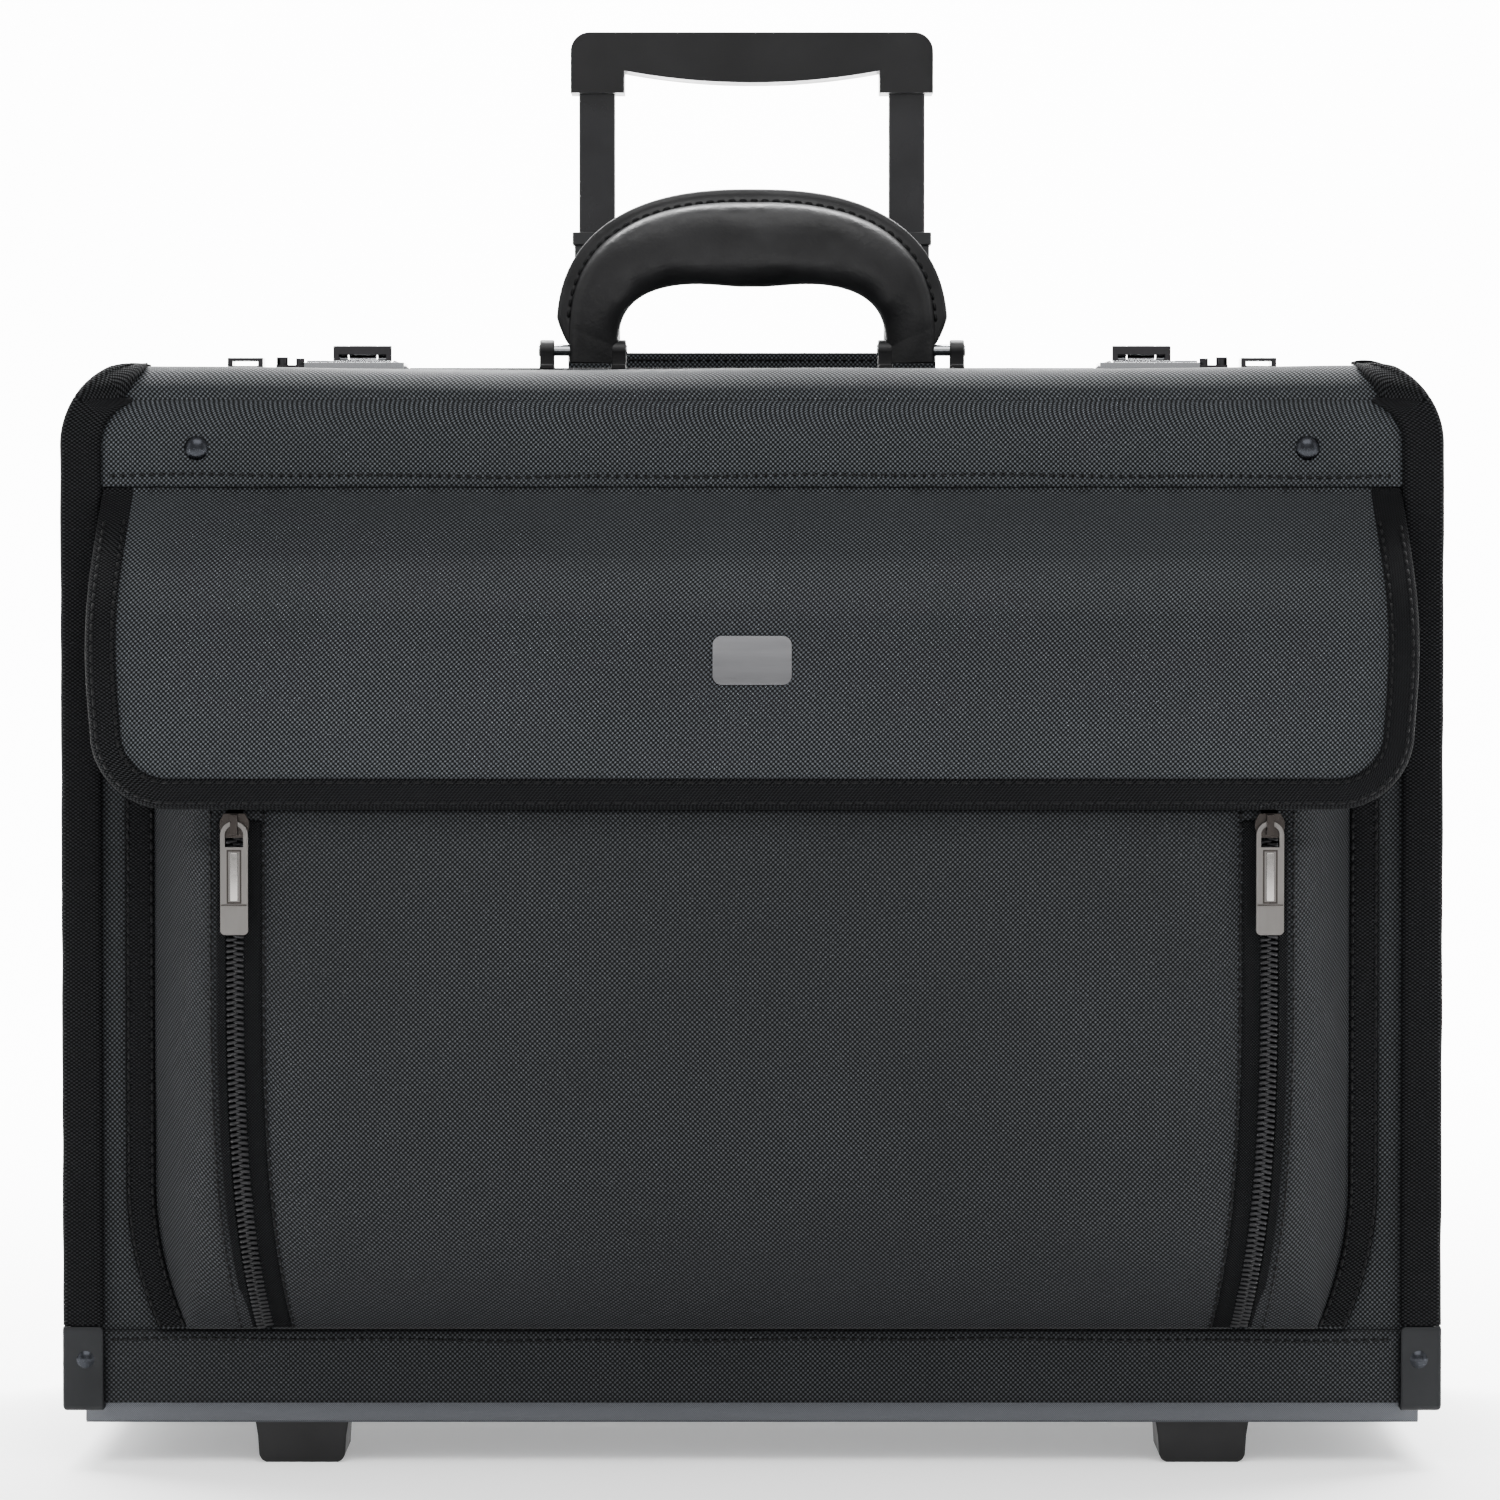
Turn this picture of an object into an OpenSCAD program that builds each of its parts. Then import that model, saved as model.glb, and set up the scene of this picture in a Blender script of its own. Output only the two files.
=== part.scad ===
// Pilot rolling flight case: front faces -Y, X is the width, the floor is Z = 0.

/* [Box] */
// width over the side panels
body_w = 457; // [455:1:459]
// depth of the box, front panel to rear panel
body_d = 203; // [202:1:204]
// thickness of a fabric covered board
wall = 4; // [3.6:0.1:4.2]
// radius of the rounded top corners seen from the front
corner_r = 27; // [25:1:28]
// radius of the rounded front edge of the front lid
nose_r = 12; // [11:0.5:12]

/* [Pocket and flap] */
// how far the flap hangs in front of its own hinge line
flap_bulge = 36; // [35:0.5:37]
// half width of the flap
flap_half = 217; // [212:1:217]
// radius of the lower corners of the flap
flap_corner = 25; // [15:1:35]
// how far the pocket stands off the front panel
pocket_depth = 27; // [25:0.5:28]
// thickness of the padding on the drop panel
pad_bulge = 4.5; // [2:0.5:6]

/* [Handles] */
// height of the carry handle above its pins
handle_rise = 55.5; // [50:0.5:62]
// half width of the carry handle
handle_half = 69; // [67:1:72]
// half width of the pull-out grip
grip_half = 66; // [65:1:70]
// distance of each pull-out tube from the middle
tube_x = 56.5; // [55:0.5:57]

/* [Wheels and feet] */
// wheel radius
wheel_r = 25; // [24:0.5:25]
// wheel width
wheel_w = 20; // [16:1:21]
// height of the front feet
foot_h = 21; // [21:1:21]

/* [Hidden] */

$fn = 72;
frame_y = 8.3;                   // puts the middle of the depth on Y = 0
half_w = body_w / 2;
half_d = body_d / 2;
base_z = foot_h;
floor_z = base_z + wall;
top_z = 369;
side_top = top_z - corner_r;     // where the rounded corner starts
hinge_z = 357;                   // crease of the front lid
face_y = -half_d - 1.6;          // face of the bands sewn on the front
flap_hinge_y = face_y - 0.3;
flap_hinge_z = 326;
flap_low = 222.7;
fit = 0.05;                      // radial play of a turning fit
trolley_y = half_d + 11.1;       // middle plane of the pull-out tubes
wheel_x = 205;
wheel_y = half_d - 13.5;
zip_x = 170.6;
lock_x = 136;
pull_y = -half_d - 34.7;         // axis of the zip pulls
pull_z = 217.4;
handle_y = -22;
handle_z = 375.5;
hasp_y = 5;
hasp_z = 375.4;
panel_low = 46;
panel_top = 222;

nylon = "#34373c";
webbing = "#26282b";
plastic = "#3a3d42";
black = "#1b1c1e";
steel = "#c9ccd0";

// ---- helpers -------------------------------------------------------------

module frame() { translate([0, frame_y, 0]) children(); }

module box(x0, x1, y0, y1, z0, z1) {
  translate([x0, y0, z0]) cube([x1 - x0, y1 - y0, z1 - z0]);
}

// a side profile drawn in Y and Z, carried along X
module along_x(x0, x1) {
  translate([x0, 0, 0]) rotate([90, 0, 90]) linear_extrude(x1 - x0) children();
}

// a front profile drawn in X and Z, carried along Y
module along_y(y0, y1) {
  translate([0, y1, 0]) rotate([90, 0, 0]) linear_extrude(y1 - y0) children();
}

module rod_x(x0, x1, y, z, r) {
  translate([x0, y, z]) rotate([0, 90, 0]) cylinder(h = x1 - x0, r = r);
}

module both() {
  children();
  mirror([1, 0, 0]) children();
}

// front outline of the case: straight sides and two rounded top corners
module arch(hw, top, r, low) {
  translate([-hw, low]) square([2 * hw, top - r - low]);
  translate([-hw + r, low]) square([2 * (hw - r), top - low]);
  for (s = [-1, 1]) translate([s * (hw - r), top - r]) circle(r);
}

module soft_box_2d(w, h, r) {
  translate([-w / 2 + r, 0]) square([w - 2 * r, h]);
  translate([-w / 2, r]) square([w, h - 2 * r]);
  for (x = [-1, 1]) for (z = [r, h - r]) translate([x * (w / 2 - r), z]) circle(r);
}

// side curve of the flap: falls forward quickly, then hangs
function flap_y(z) =
  flap_hinge_y - flap_bulge * (1 - pow(max(0, 1 - (flap_hinge_z - z) / (flap_hinge_z - flap_low)), 3.2));
function flap_in(z) = min(flap_y(z) + 3.4, -half_d - 0.4);
flap_zs = [for (i = [0:16]) flap_hinge_z - 1 - (flap_hinge_z - 1 - flap_low) * i / 16];

// side curve of the pocket face: leaves the body at the hem and stands straight above
function pocket_y(z) =
  -half_d - 3 - pocket_depth * (1 - pow(max(0, 1 - (z - panel_low) / 64), 2.6));
pocket_zs = [for (i = [0:12]) panel_low + 64 * i / 12];

module flap_side(out, inner) {
  polygon(concat(
    [for (z = flap_zs) [flap_y(z) - out, z]],
    [for (i = [16:-1:0]) [inner ? flap_in(flap_zs[i]) : flap_y(flap_zs[i]), flap_zs[i]]]));
}

// everything the closed flap leaves free behind it, above the hem
module under_flap_side() {
  polygon(concat(
    [[-half_d, panel_low], [-half_d, flap_hinge_z - 4]],
    [for (z = flap_zs) if (z < flap_hinge_z - 8) [flap_in(z) + 0.8, z]],
    [[flap_in(flap_low) + 0.8, panel_low]]));
}

module pocket_side(out, deep, top) {
  zs = concat(pocket_zs, [top]);
  n = len(zs) - 1;
  polygon(concat(
    [for (z = zs) [pocket_y(z) - out, z]],
    [for (i = [n:-1:0]) [min(pocket_y(zs[i]) + deep, -half_d - 0.4), zs[i]]]));
}

module pocket_body_side(top) {
  polygon(concat([for (z = concat(pocket_zs, [top])) [pocket_y(z), z]],
                 [[-half_d, top], [-half_d, panel_low]]));
}

module wheel_notch() {
  both() box(wheel_x - 19.5, half_w + 5, wheel_y - 34.5, half_d + 9, base_z - 1, 60.5);
}

// ---- box ------------------------------------------------------------------

module front_panel() color(nylon) frame() intersection() {
  along_y(-half_d, -half_d + wall) arch(half_w, top_z, corner_r, floor_z);
  box(-half_w, half_w, -half_d, 0, floor_z, hinge_z);
}

module rear_panel() color(nylon) frame() difference() {
  union() {
    box(-half_w, half_w, half_d - wall, half_d, floor_z, side_top - 0.3);
    intersection() {
      along_y(half_d - wall, half_d)
        arch(half_w - wall - 0.3, top_z - wall - 0.3, corner_r - wall - 0.3, floor_z);
      box(-half_w, half_w, 0, half_d + 1, floor_z, top_z - wall - 0.5);
    }
  }
  wheel_notch();
}

module side_panel() difference() {
  box(half_w - wall, half_w, -half_d + wall, half_d - wall, floor_z, side_top - 0.3);
  wheel_notch();
}
module left_side_panel() color(nylon) frame() mirror([1, 0, 0]) side_panel();
module right_side_panel() color(nylon) frame() side_panel();

module base_panel() color(nylon) frame() difference() {
  box(-half_w, half_w, -half_d, half_d, base_z, floor_z);
  wheel_notch();
}

// band folded over the top of the front, its raw hem hides the flap hinge
module hem_band() color(nylon) frame() intersection() {
  along_y(face_y, -half_d) arch(half_w - 11.3, top_z - 11.3, corner_r - 11.3, 328);
  box(-half_w, half_w, face_y - 1, 0, 328, hinge_z);
}

module base_band() color(nylon) frame()
  box(-half_w + 11.4, half_w - 11.4, face_y, -half_d, base_z, panel_low - 0.6);

// webbing folded round the upright front edge
module edge_binding() difference() {
  union() {
    intersection() {
      along_y(face_y - 0.8, -half_d) difference() {
        arch(half_w + 1.5, top_z + 1.5, corner_r + 1.5, 40);
        arch(half_w - 11, top_z - 11, corner_r - 11, 39);
      }
      box(0, half_w + 5, face_y - 2, 0, 47.3, hinge_z);
    }
    box(half_w, half_w + 1.5, face_y - 0.8, -half_d + 11, 47.3, side_top - 0.3);
  }
}
module left_edge_binding() color(webbing) frame() mirror([1, 0, 0]) edge_binding();
module right_edge_binding() color(webbing) frame() edge_binding();

// moulded cup over the lower front corner
module corner_protector() difference() {
  translate([half_w - 11.2, 0, 0]) box(0, 13.7, face_y - 2.6, -half_d + 17, base_z - 2.3, 47);
  box(half_w - 20, half_w, face_y, -half_d + 30, base_z, 60);
}
module left_corner_protector() color(plastic) frame() mirror([1, 0, 0]) corner_protector();
module right_corner_protector() color(plastic) frame() corner_protector();

module dome(x, z, y, r, h) {
  sphere_r = (r * r + h * h) / (2 * h);
  intersection() {
    translate([x, y - h + sphere_r, z]) sphere(sphere_r);
    translate([x, y, z]) rotate([90, 0, 0]) cylinder(h = h + 1, r = r + 1);
  }
}
module dome_rivets() color("#8f9297") frame() both() {
  dome(185.4, 341, face_y, 4.2, 2.2);
  dome(half_w - 5.2, 36, face_y - 2.6, 3, 1.2);
}

module foot_2d() {
  polygon([[-20, 21], [-17.4, 18.4], [-15.8, 14.5], [-14.9, 9], [-14.5, 2.6], [-13.6, 0.8], [-12, 0],
           [12, 0], [13.6, 0.8], [14.5, 2.6], [14.9, 9], [15.8, 14.5], [17.4, 18.4], [20, 21]]);
}
module front_feet() color(black) frame() both()
  translate([151.5, 0, 0]) along_y(-half_d + 6, -half_d + 38) foot_2d();

module wheel_housing() difference() {
  box(wheel_x - 19, half_w + 2, wheel_y - 34, half_d + 3, base_z, 60);
  box(wheel_x - 12, wheel_x + 12, wheel_y - 27.5, half_d + 10, 0, 53);
  rod_x(wheel_x - 15, wheel_x + 15, wheel_y, wheel_r, 3);
}
module left_wheel_housing() color(plastic) frame() mirror([1, 0, 0]) wheel_housing();
module right_wheel_housing() color(plastic) frame() wheel_housing();

module wheel_axles() color(steel) frame() both()
  rod_x(wheel_x - 15, wheel_x + 15, wheel_y, wheel_r, 3);

// ---- wheels ---------------------------------------------------------------

module tyre() translate([wheel_x, wheel_y, wheel_r]) rotate([0, 90, 0]) difference() {
  rotate_extrude() {
    translate([18, -wheel_w / 2]) square([wheel_r - 21, wheel_w]);
    translate([18, -wheel_w / 2 + 3]) square([wheel_r - 18, wheel_w - 6]);
    for (s = [-1, 1]) translate([wheel_r - 3, s * (wheel_w / 2 - 3)]) circle(3);
  }
}
module hub() translate([wheel_x, wheel_y, wheel_r]) rotate([0, 90, 0]) difference() {
  union() {
    translate([0, 0, -wheel_w / 2 + 1]) cylinder(h = wheel_w - 2, r = 18);
    translate([0, 0, -wheel_w / 2]) cylinder(h = wheel_w, r = 7);
  }
  translate([0, 0, -wheel_w]) cylinder(h = 2 * wheel_w, r = 3 + fit);
  for (a = [0:60:300]) rotate(a) for (s = [-1, 1])
    translate([11.5, 0, s * (wheel_w / 2 - 1)]) cylinder(h = 8, r = 3.4, center = true);
}
module left_wheel_tyre() color("#17181a") frame() mirror([1, 0, 0]) tyre();
module right_wheel_tyre() color("#17181a") frame() tyre();
module left_wheel_hub() color("#2b2d30") frame() mirror([1, 0, 0]) hub();
module right_wheel_hub() color("#2b2d30") frame() hub();

// ---- front pocket ---------------------------------------------------------

// plan of the sloping side of the pocket, outer line and wall
side_plan = [[zip_x + 3.3, -half_d], [209, -half_d], [209, -half_d - 2.5], [199.5, -half_d - 2.5],
             [184, -half_d - 27.5], [180, -half_d - 30], [zip_x + 3.3, -half_d - 30]];
wall_plan = [[209, -half_d], [209, -half_d - 2.5], [199.5, -half_d - 2.5], [184, -half_d - 27.5],
             [180, -half_d - 30], [zip_x + 3.3, -half_d - 30], [zip_x + 3.3, -half_d - 27.8],
             [179, -half_d - 27.8], [182, -half_d - 25.9], [197, -half_d - 2], [197, -half_d]];

module pocket_wall() {
  intersection() {
    translate([0, 0, panel_low]) linear_extrude(270) polygon(wall_plan);
    along_x(150, 220) pocket_body_side(340);
    along_x(150, 220) under_flap_side();
  }
  intersection() {
    translate([0, 0, panel_low]) linear_extrude(90) polygon(side_plan);
    along_x(150, 220) pocket_side(0, 2.2, 120);
  }
}
module left_pocket_wall() color(nylon) frame() mirror([1, 0, 0]) pocket_wall();
module right_pocket_wall() color(nylon) frame() pocket_wall();

module pocket_upper_front() color(nylon) frame()
  box(-zip_x - 3.3, zip_x + 3.3, -half_d - 30, -half_d - 27.8, panel_top + 0.5, 270);

module pocket_bindings() color(webbing) frame() both()
  box(199.5, 209.5, -half_d - 3.9, -half_d - 2.5, panel_low + 2, 314);

module zip_outer_tapes() color("#202225") frame() both() intersection() {
  along_x(zip_x + 3.3, zip_x + 8.4) pocket_side(0.8, 0, panel_top);
  box(0, 300, -200, -half_d - 2.5, panel_low + 1, panel_top);
}

module drop_panel() color(nylon) frame() {
  along_x(-zip_x + 2.9, zip_x - 2.9) pocket_side(0, 2.2, panel_top);
  along_x(-158, 158) {
    pad_zs = [for (i = [0:20]) 60 + 156 * i / 20];
    polygon(concat(
      [for (i = [0:20]) [pocket_y(pad_zs[i]) - pad_bulge * sin(180 * i / 20), pad_zs[i]]],
      [for (i = [20:-1:0]) [pocket_y(pad_zs[i]) + 0.5, pad_zs[i]]]));
  }
}

module zip_chains() color(black) frame() both()
  along_x(zip_x - 2.9, zip_x + 2.85) pocket_side(1.4, 1.2, panel_top);

module zip_slider() translate([zip_x, 0, 0]) difference() {
  union() {
    along_y(-half_d - 33.4, -half_d - 31.7) translate([0, 212.5])
      polygon([[-3.9, 0], [3.9, 0], [4.85, 3.4], [4.85, 5.4],
               [3.6, 8], [-3.6, 8], [-4.85, 5.4], [-4.85, 3.4]]);
    box(-1.2, 1.2, -half_d - 36.6, -half_d - 33.3, 213.6, 220.2);
  }
  box(-2, 2, -half_d - 36.2, -half_d - 33.4, 215.4, 218.9);
}
module left_zip_slider() color(steel) frame() mirror([1, 0, 0]) zip_slider();
module right_zip_slider() color(steel) frame() zip_slider();

module pull_2d(grow) {
  translate([0, 213.4]) circle(4.55 + grow);
  translate([-4.55 - grow, 182]) square([9.1 + 2 * grow, 31.4]);
  translate([-3.2, 180.5]) square([6.4, 4]);
  for (x = [-1, 1]) translate([x * 3.05, 182]) circle(1.5);
}
module zip_pull() translate([zip_x, 0, 0]) {
  difference() {
    along_y(pull_y - 0.75, pull_y + 0.75) pull_2d(0);
    along_y(pull_y - 2, pull_y + 2) {
      translate([0, 213.5]) circle(3.05);
      translate([-3.05, 209.4]) square([6.1, 4.1]);
    }
    box(-6, 6, pull_y - 2, pull_y - 0.6, 189.9, 190.4);
  }
  along_y(pull_y - 1.15, pull_y - 0.7) translate([0, 192]) soft_box_2d(2.8, 15.4, 1.1);
}
module left_zip_pull() color(steel) frame() mirror([1, 0, 0]) zip_pull();
module right_zip_pull() color(steel) frame() zip_pull();

// ---- flap -----------------------------------------------------------------

module flap_front_2d(inset) {
  w = flap_half - inset;
  r = flap_corner - inset * 0.6;
  low = flap_low + inset;
  translate([-w, low + r]) square([2 * w, flap_hinge_z + 5 - low - r]);
  translate([-w + r, low]) square([2 * (w - r), r + 1]);
  for (s = [-1, 1]) translate([s * (w - r), low + r]) circle(r);
}
module flap_panel() color(nylon) frame() {
  intersection() {
    along_x(-flap_half, flap_half) flap_side(0, true);
    along_y(-160, -90) flap_front_2d(0);
  }
  rod_x(-flap_half, flap_half, flap_hinge_y, flap_hinge_z, 1.4);
}
module flap_binding() color(webbing) frame() intersection() {
  along_x(-flap_half, flap_half) flap_side(1.2, false);
  along_y(-160, -90) difference() {
    flap_front_2d(0);
    flap_front_2d(9.5);
  }
  box(-300, 300, -160, -90, 200, 318);
}
module flap_plate() color(steel) frame() intersection() {
  along_x(-13, 13) flap_side(1.5, false);
  along_y(-160, -90) translate([0, 263]) soft_box_2d(26, 16, 3);
}

// ---- lids -----------------------------------------------------------------

module lid_core(y0, y1) {
  along_y(y0, y1) arch(half_w - wall, top_z - wall, corner_r - wall, side_top - 10);
}

module front_lid_shell() color(nylon) frame() difference() {
  intersection() {
    along_y(face_y, -0.3) arch(half_w, top_z, corner_r, side_top);
    along_x(-half_w, half_w) union() {
      translate([face_y + nose_r, hinge_z + 0.3]) square([-0.3 - face_y - nose_r, top_z - hinge_z - 0.3]);
      translate([-half_d + wall + 0.3, side_top]) square([half_d - wall - 0.6, hinge_z - side_top + 1]);
      intersection() {
        translate([face_y + nose_r, top_z - nose_r]) circle(nose_r);
        translate([face_y - 1, hinge_z + 0.3]) square([nose_r + 2, nose_r + 2]);
      }
    }
    rod_x(-half_w, half_w, face_y - 1.1, hinge_z + 0.15, 104.8);
  }
  lid_core(face_y + wall, 1);
}

module rear_lid_shell() color(nylon) frame() difference() {
  intersection() {
    along_y(0.3, half_d - 0.3) arch(half_w, top_z, corner_r, side_top);
    box(-half_w, half_w, 0, half_d, side_top, top_z + 1);
    rod_x(-half_w, half_w, half_d, top_z - 0.5, half_d - 0.3);
  }
  lid_core(-1, half_d + 1);
}

module side_tag() color(webbing) frame() along_y(-half_d + 10, -half_d + 26) intersection() {
  difference() {
    translate([half_w - corner_r, side_top]) circle(corner_r + 1.8);
    translate([half_w - corner_r, side_top]) circle(corner_r);
  }
  translate([201.5, 350]) square([15, 30]);
}

// ---- locks ----------------------------------------------------------------

module lock_base() {
  translate([lock_x + 1.2, 0, 0]) {
    box(-17.2, 17.2, -28, -1.8, top_z, top_z + 2.2);
    box(-12.2, 9.6, -20, -4, top_z + 2, top_z + 2.9);
    box(9.4, 17.2, -14.6, -11.4, top_z + 2, top_z + 3.1);
    along_y(-22, -8) polygon([[-19, top_z], [-16.4, top_z + 2], [-13.4, top_z + 3], [-12, top_z + 1],
                              [-17, top_z]]);
  }
}
module lock_bases() color(steel) frame() both() lock_base();

module end_clips() color(steel) frame() both() difference() {
  box(169.2, 181.5, -20, -8, top_z, top_z + 4);
  box(171, 179.7, -21, -7, top_z + 1.2, top_z + 2.9);
}

module lock_lever() {
  box(155.2, 165, -15, -11, top_z + 0.3, top_z + 1.6);
  translate([156.8, -13, top_z + 1.5]) cylinder(h = 2.4, r = 1.5);
  translate([163, -13, top_z + 1.5]) cylinder(h = 2.8, r = 2);
}
module left_lock_lever() color(steel) frame() mirror([1, 0, 0]) lock_lever();
module right_lock_lever() color(steel) frame() lock_lever();

// fixed half of the hasp hinge, on the rear lid
module hasp_bracket() {
  box(lock_x - 10, lock_x + 10, hasp_y - 2, 20, top_z, top_z + 1.2);
  for (x = [lock_x - 10, lock_x + 5.2]) {
    rod_x(x, x + 4.8, hasp_y, hasp_z, 2.4);
    box(x, x + 4.8, hasp_y - 1.2, hasp_y + 2.2, top_z + 1, hasp_z - 1);
  }
  rod_x(lock_x - 9, lock_x + 9, hasp_y, hasp_z, 0.9);
}
module hasp_brackets() color(steel) frame() both() hasp_bracket();

module hasp() difference() {
  union() {
    rod_x(lock_x - 4.8, lock_x + 4.8, hasp_y, hasp_z, 2.4);
    box(lock_x - 4.8, lock_x + 4.8, 0.6, hasp_y, hasp_z + 0.9, hasp_z + 2.1);
    box(lock_x - 10.2, lock_x + 10.2, 0.6, 1.8, top_z + 0.6, hasp_z + 2.1);
  }
  rod_x(lock_x - 20, lock_x + 20, hasp_y, hasp_z, 0.9 + fit);
  box(lock_x - 8.2, lock_x + 8.2, 0, 2.4, top_z + 3.9, top_z + 5.4);
}
module left_hasp() color(steel) frame() mirror([1, 0, 0]) hasp();
module right_hasp() color(steel) frame() hasp();

// ---- carry handle ---------------------------------------------------------

module lug_2d() {
  translate([handle_y, handle_z]) circle(3.6);
  translate([handle_y - 3.4, top_z]) square([6.8, handle_z - top_z]);
  translate([handle_y - 6, top_z]) square([12, 1.4]);
}
module handle_lugs() color(black) frame() both() for (x = [43.5, 68.3]) difference() {
  along_x(x, x + 5) lug_2d();
  rod_x(x - 1, x + 6, handle_y, handle_z, 2);
}
module handle_pins() color(steel) frame() both() rod_x(43.1, 73.7, handle_y, handle_z, 2);

// points of a rounded arch |x/a|^n + |z/b|^n = 1
function rounded(a, b, n) = [for (t = [0:6:180])
  [a * sign(cos(t)) * pow(abs(cos(t)), 2 / n), b * pow(abs(sin(t)), 2 / n)]];

module handle_arch(grow) difference() {
  translate([0, handle_z + 4.5]) polygon(rounded(handle_half - 1 + grow, handle_rise - 4.5 + grow, 2.5));
  translate([0, handle_z - 3.5]) polygon(rounded(handle_half - 22.5, 27.2, 3.4));
}
module handle_side(half, top) {
  translate([handle_y, handle_z]) {
    polygon([[-5, 0], [-half * 0.6, 6], [-half, 17], [-half, top - 5], [-half + 4, top],
             [half - 4, top], [half, top - 5], [half, 17], [half * 0.6, 6], [5, 0]]);
    circle(5);
  }
}
module carry_handle_core() color(black) frame() difference() {
  intersection() {
    along_x(-100, 100) handle_side(10.5, handle_rise - 3);
    union() {
      along_y(-60, 20) difference() {
        handle_arch(-3);
        translate([-100, 0]) square([200, 10]);
      }
      both() box(47, 63, -60, 20, handle_z + 4.5, handle_z + 14);
      both() box(48.8, 67.9, -60, 20, handle_z - 6, handle_z + 4.5);
    }
  }
  both() rod_x(40, 75, handle_y, handle_z, 2 + fit);
}
// stitched rim along the outer arch of the handle
module carry_handle_welt() color("#232325") frame() intersection() {
  along_x(-100, 100) handle_side(4, handle_rise);
  along_y(-60, 20) difference() {
    handle_arch(0);
    handle_arch(-3);
  }
}

// ---- pull-out handle ------------------------------------------------------

module tube(w, d, iw, id, z0, z1) both() translate([tube_x, trolley_y, z0])
  linear_extrude(z1 - z0) difference() {
    square([w, d], center = true);
    square([iw, id], center = true);
  }

module trolley_outer_tubes() color("#6b6e73") frame() tube(20, 16, 17.1, 12.9, 44, 361.9);

module trolley_bottom_bracket() color(plastic) frame()
  box(-69.8, 69.8, half_d, trolley_y + 8.8, 36, 44);

module trolley_sleeve() color(nylon) frame() difference() {
  box(-72, 72, half_d, half_d + 22, 34, 338);
  box(-70, 70, half_d - 1, half_d + 20, 36, 340);
}

module trolley_bezel() color(nylon) frame() difference() {
  union() {
    box(-67, 67, half_d + 1, half_d + 22.5, 362, 377.5);
    box(-67, 67, half_d, half_d + 2.2, 340, 362.5);
    box(-67, 67, half_d + 20, half_d + 22.5, 340, 362.5);
  }
  both() translate([tube_x, trolley_y, 370]) cube([17.1, 12.9, 30], center = true);
}

module trolley_mid_tubes() color("#25272a") frame() {
  tube(16.5, 12.3, 13.8, 9.6, 91, 417.1);
  tube(18, 13.8, 13.8, 9.6, 417, 421.6);
}

module trolley_inner_tubes() color("#2a2c30") frame() tube(13.2, 9, 11.2, 7, 135, 482);

module grip_2d() {
  translate([-grip_half, 481]) square([2 * grip_half, 6]);
  translate([-grip_half + 7, 481]) square([2 * grip_half - 14, 13]);
  for (s = [-1, 1]) translate([s * (grip_half - 7), 487]) circle(7);
  intersection() {
    translate([-47, 470]) square([94, 20]);
    translate([0, 475.7 + 253.6]) circle(253.6, $fn = 360);
  }
  for (s = [-1, 1]) translate([s * (grip_half - 9.75) - 9.75, 472]) square([19.5, 14]);
}
module trolley_grip() color(black) frame() difference() {
  along_y(trolley_y - 11, trolley_y + 11) grip_2d();
  both() box(tube_x - 6.6, tube_x + 6.6, trolley_y - 4.5, trolley_y + 4.5, 470, 482);
  box(-tube_x - 3, tube_x + 3, trolley_y - 3, trolley_y + 3, 482, 490);
  box(-14.3, 14.3, trolley_y - 5.3, trolley_y + 5.3, 482, 496);
}

module release_button() color(plastic) frame()
  box(-14, 14, trolley_y - 5, trolley_y + 5, 488.5, 493.7);
module release_rods() color(steel) frame() {
  box(-tube_x - 2, tube_x + 2, trolley_y - 2, trolley_y + 2, 485.6, 488.5);
  both() translate([tube_x, trolley_y, 150]) cylinder(h = 336, r = 1.6);
}

// ---- inside ---------------------------------------------------------------

module padded_divider() color("#55585d") frame()
  box(-half_w + wall, half_w - wall, 36, 42, floor_z, 300);

// ---- nodes ----------------------------------------------------------------

front_panel();
rear_panel();
left_side_panel();
right_side_panel();
base_panel();
hem_band();
base_band();
left_edge_binding();
right_edge_binding();
left_corner_protector();
right_corner_protector();
dome_rivets();
front_feet();
left_wheel_housing();
right_wheel_housing();
wheel_axles();
left_pocket_wall();
right_pocket_wall();
pocket_upper_front();
pocket_bindings();
zip_outer_tapes();
trolley_outer_tubes();
trolley_bottom_bracket();
trolley_sleeve();
trolley_bezel();
padded_divider();
front_lid_shell();
handle_lugs();
handle_pins();
lock_bases();
end_clips();
side_tag();
rear_lid_shell();
hasp_brackets();
carry_handle_core();
carry_handle_welt();
left_hasp();
right_hasp();
left_lock_lever();
right_lock_lever();
flap_panel();
flap_binding();
flap_plate();
drop_panel();
zip_chains();
left_zip_slider();
right_zip_slider();
left_zip_pull();
right_zip_pull();
left_wheel_tyre();
left_wheel_hub();
right_wheel_tyre();
right_wheel_hub();
trolley_mid_tubes();
trolley_inner_tubes();
trolley_grip();
release_button();
release_rods();
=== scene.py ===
# %% [markdown]
# # A pilot rolling flight case, dressed over its frame
# The frame holds every hard part at its true size and place, and every joint. This script keeps
# the parts that are right as they are, gives them finishes made of nodes, and builds the soft
# and fine things over them: woven cloth, webbing, stitches, zips, the grained handle, chrome.

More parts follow.
